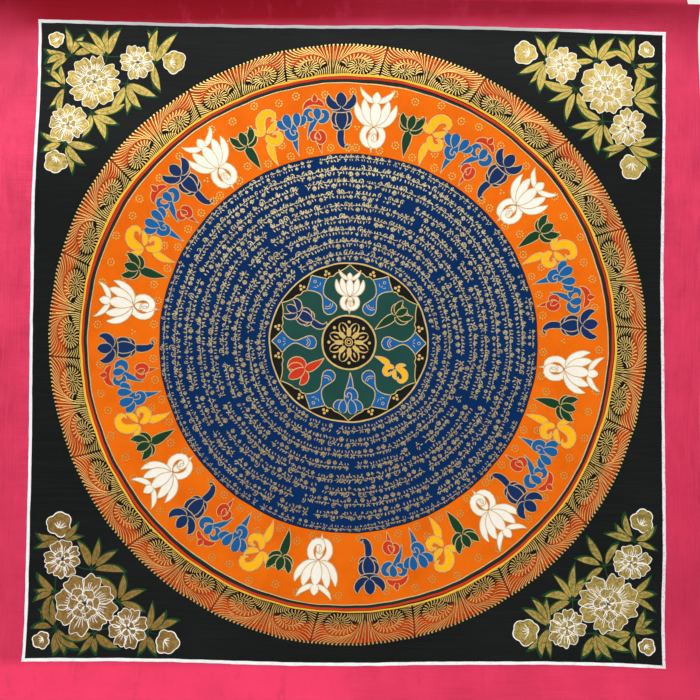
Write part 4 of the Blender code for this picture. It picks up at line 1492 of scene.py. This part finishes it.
def make_camera():
    """Camera nearly square on to the cloth, filling its frame with it."""
    data = bpy.data.cameras.new("camera")
    data.sensor_width = 36.0
    data.lens = 18.0 / np.tan(np.radians(CAMERA_ANGLE / 2.0))
    data.clip_start = 0.01
    camera = bpy.data.objects.new("camera", data)
    bpy.context.scene.collection.objects.link(camera)
    yaw, pitch, roll = np.radians((CAMERA_YAW, CAMERA_PITCH, CAMERA_ROLL))
    turn = Matrix.Rotation(-yaw, 4, "Z") @ Matrix.Rotation(np.pi / 2.0 + pitch, 4, "X")
    turn = turn @ Matrix.Rotation(roll, 4, "Z")
    camera.matrix_world = Matrix.Translation(CAMERA_PLACE) @ turn
    bpy.context.scene.camera = camera


def make_panel(name, place, target, width, height, power, colour=(1.0, 1.0, 1.0)):
    """A soft light panel that faces its target."""
    data = bpy.data.lights.new(name, "AREA")
    data.shape = "RECTANGLE"
    data.size, data.size_y = width, height
    data.energy = power
    data.color = colour
    panel = bpy.data.objects.new(name, data)
    bpy.context.scene.collection.objects.link(panel)
    panel.location = place
    panel.rotation_euler = (Vector(target) - Vector(place)).to_track_quat("-Z", "Y").to_euler()


def make_studio():
    """Pale floor, a soft key panel high in front, a low fill, and a pale surround, dimmer as light."""
    middle = (0.0, 0.0, -0.28)
    make_panel("key_panel", (-0.08, -0.95, 1.45), middle, 1.6, 0.7, 47.2, (1.0, 0.985, 0.96))
    make_panel("front_panel", (-0.50, -1.45, 0.45), middle, 1.3, 0.55, 4.5)
    make_panel("fill_panel", (1.3, -1.5, -0.35), middle, 1.0, 1.2, 2.0, (0.95, 0.97, 1.0))
    make_panel("back_panel", (-0.9, 1.9, 0.7), middle, 1.4, 1.2, 36.0, (1.0, 0.98, 0.95))

    floor_mesh = bpy.data.meshes.new("floor")
    near, far = -FLOOR_REACH, FLOOR_REACH
    corners = [(x, y, FLOOR_HEIGHT) for x, y in ((near, near), (far, near), (far, far), (near, far))]
    floor_mesh.from_pydata(corners, [], [(0, 1, 2, 3)])
    floor = bpy.data.objects.new("floor", floor_mesh)
    bpy.context.scene.collection.objects.link(floor)
    look = Look("pale_floor")
    patches = look.patches(1.5, 0.35, 0.65)
    # Painted light: the floor glows, more the farther it is from the middle, so that it stays pale to its far
    # edge
    away = look.node("VectorMath", {0: look.place}, operation="LENGTH").outputs["Value"]
    glow = look.mix(look.spread(away, 1.4, 4.6), (0.95, 0.94, 0.92), (2.05, 2.03, 1.98))
    look.feed(look.shader, {"Emission Color": glow, "Emission Strength": 0.26})
    floor_mesh.materials.append(look.finish(look.mix(patches, (0.62, 0.61, 0.59), (0.66, 0.65, 0.63)), 0.9))

    world = bpy.data.worlds.new("surround")
    bpy.context.scene.world = world
    world.use_nodes = True
    sky = Nodes(world.node_tree)
    lighting = sky.tree.nodes["Background"]
    sky.feed(lighting, {"Color": (0.93, 0.95, 1.0), "Strength": 0.17})
    _, height = sky.axes(sky.node("TexCoord", {}).outputs["Generated"])
    above = sky.mix(sky.spread(height, -0.08, 0.22), HORIZON, (0.92, 0.90, 0.86))
    seen = sky.node("Background", {"Color": above, "Strength": 0.95})
    ray = sky.node("LightPath", {}).outputs["Is Camera Ray"]
    shades = {"Fac": ray, 1: lighting.outputs["Background"], 2: seen.outputs["Background"]}
    either = sky.node("MixShader", shades)
    sky.feed(sky.tree.nodes["World Output"], {"Surface": either.outputs["Shader"]})
    bpy.context.scene.view_settings.view_transform = "Standard"


# --- Build ----------------------------------------------------------------------------------
def build():
    """The canvas first, then each coat of paint over the last, then the studio."""
    canvas = make_canvas()
    looks = make_looks()
    paint_square(looks["black"], line_white_look())
    paint_filigree(filigree_ground_look(), looks["filigree_gold"], looks["divider_red"])
    paint_orange_ring(looks)
    paint_ring_lines(looks)
    paint_disc(looks["blue"], looks["black"], looks["row_gold"])
    paint_medallion(looks)
    paint_sprays(looks)
    make_studio()
    make_camera()


build()
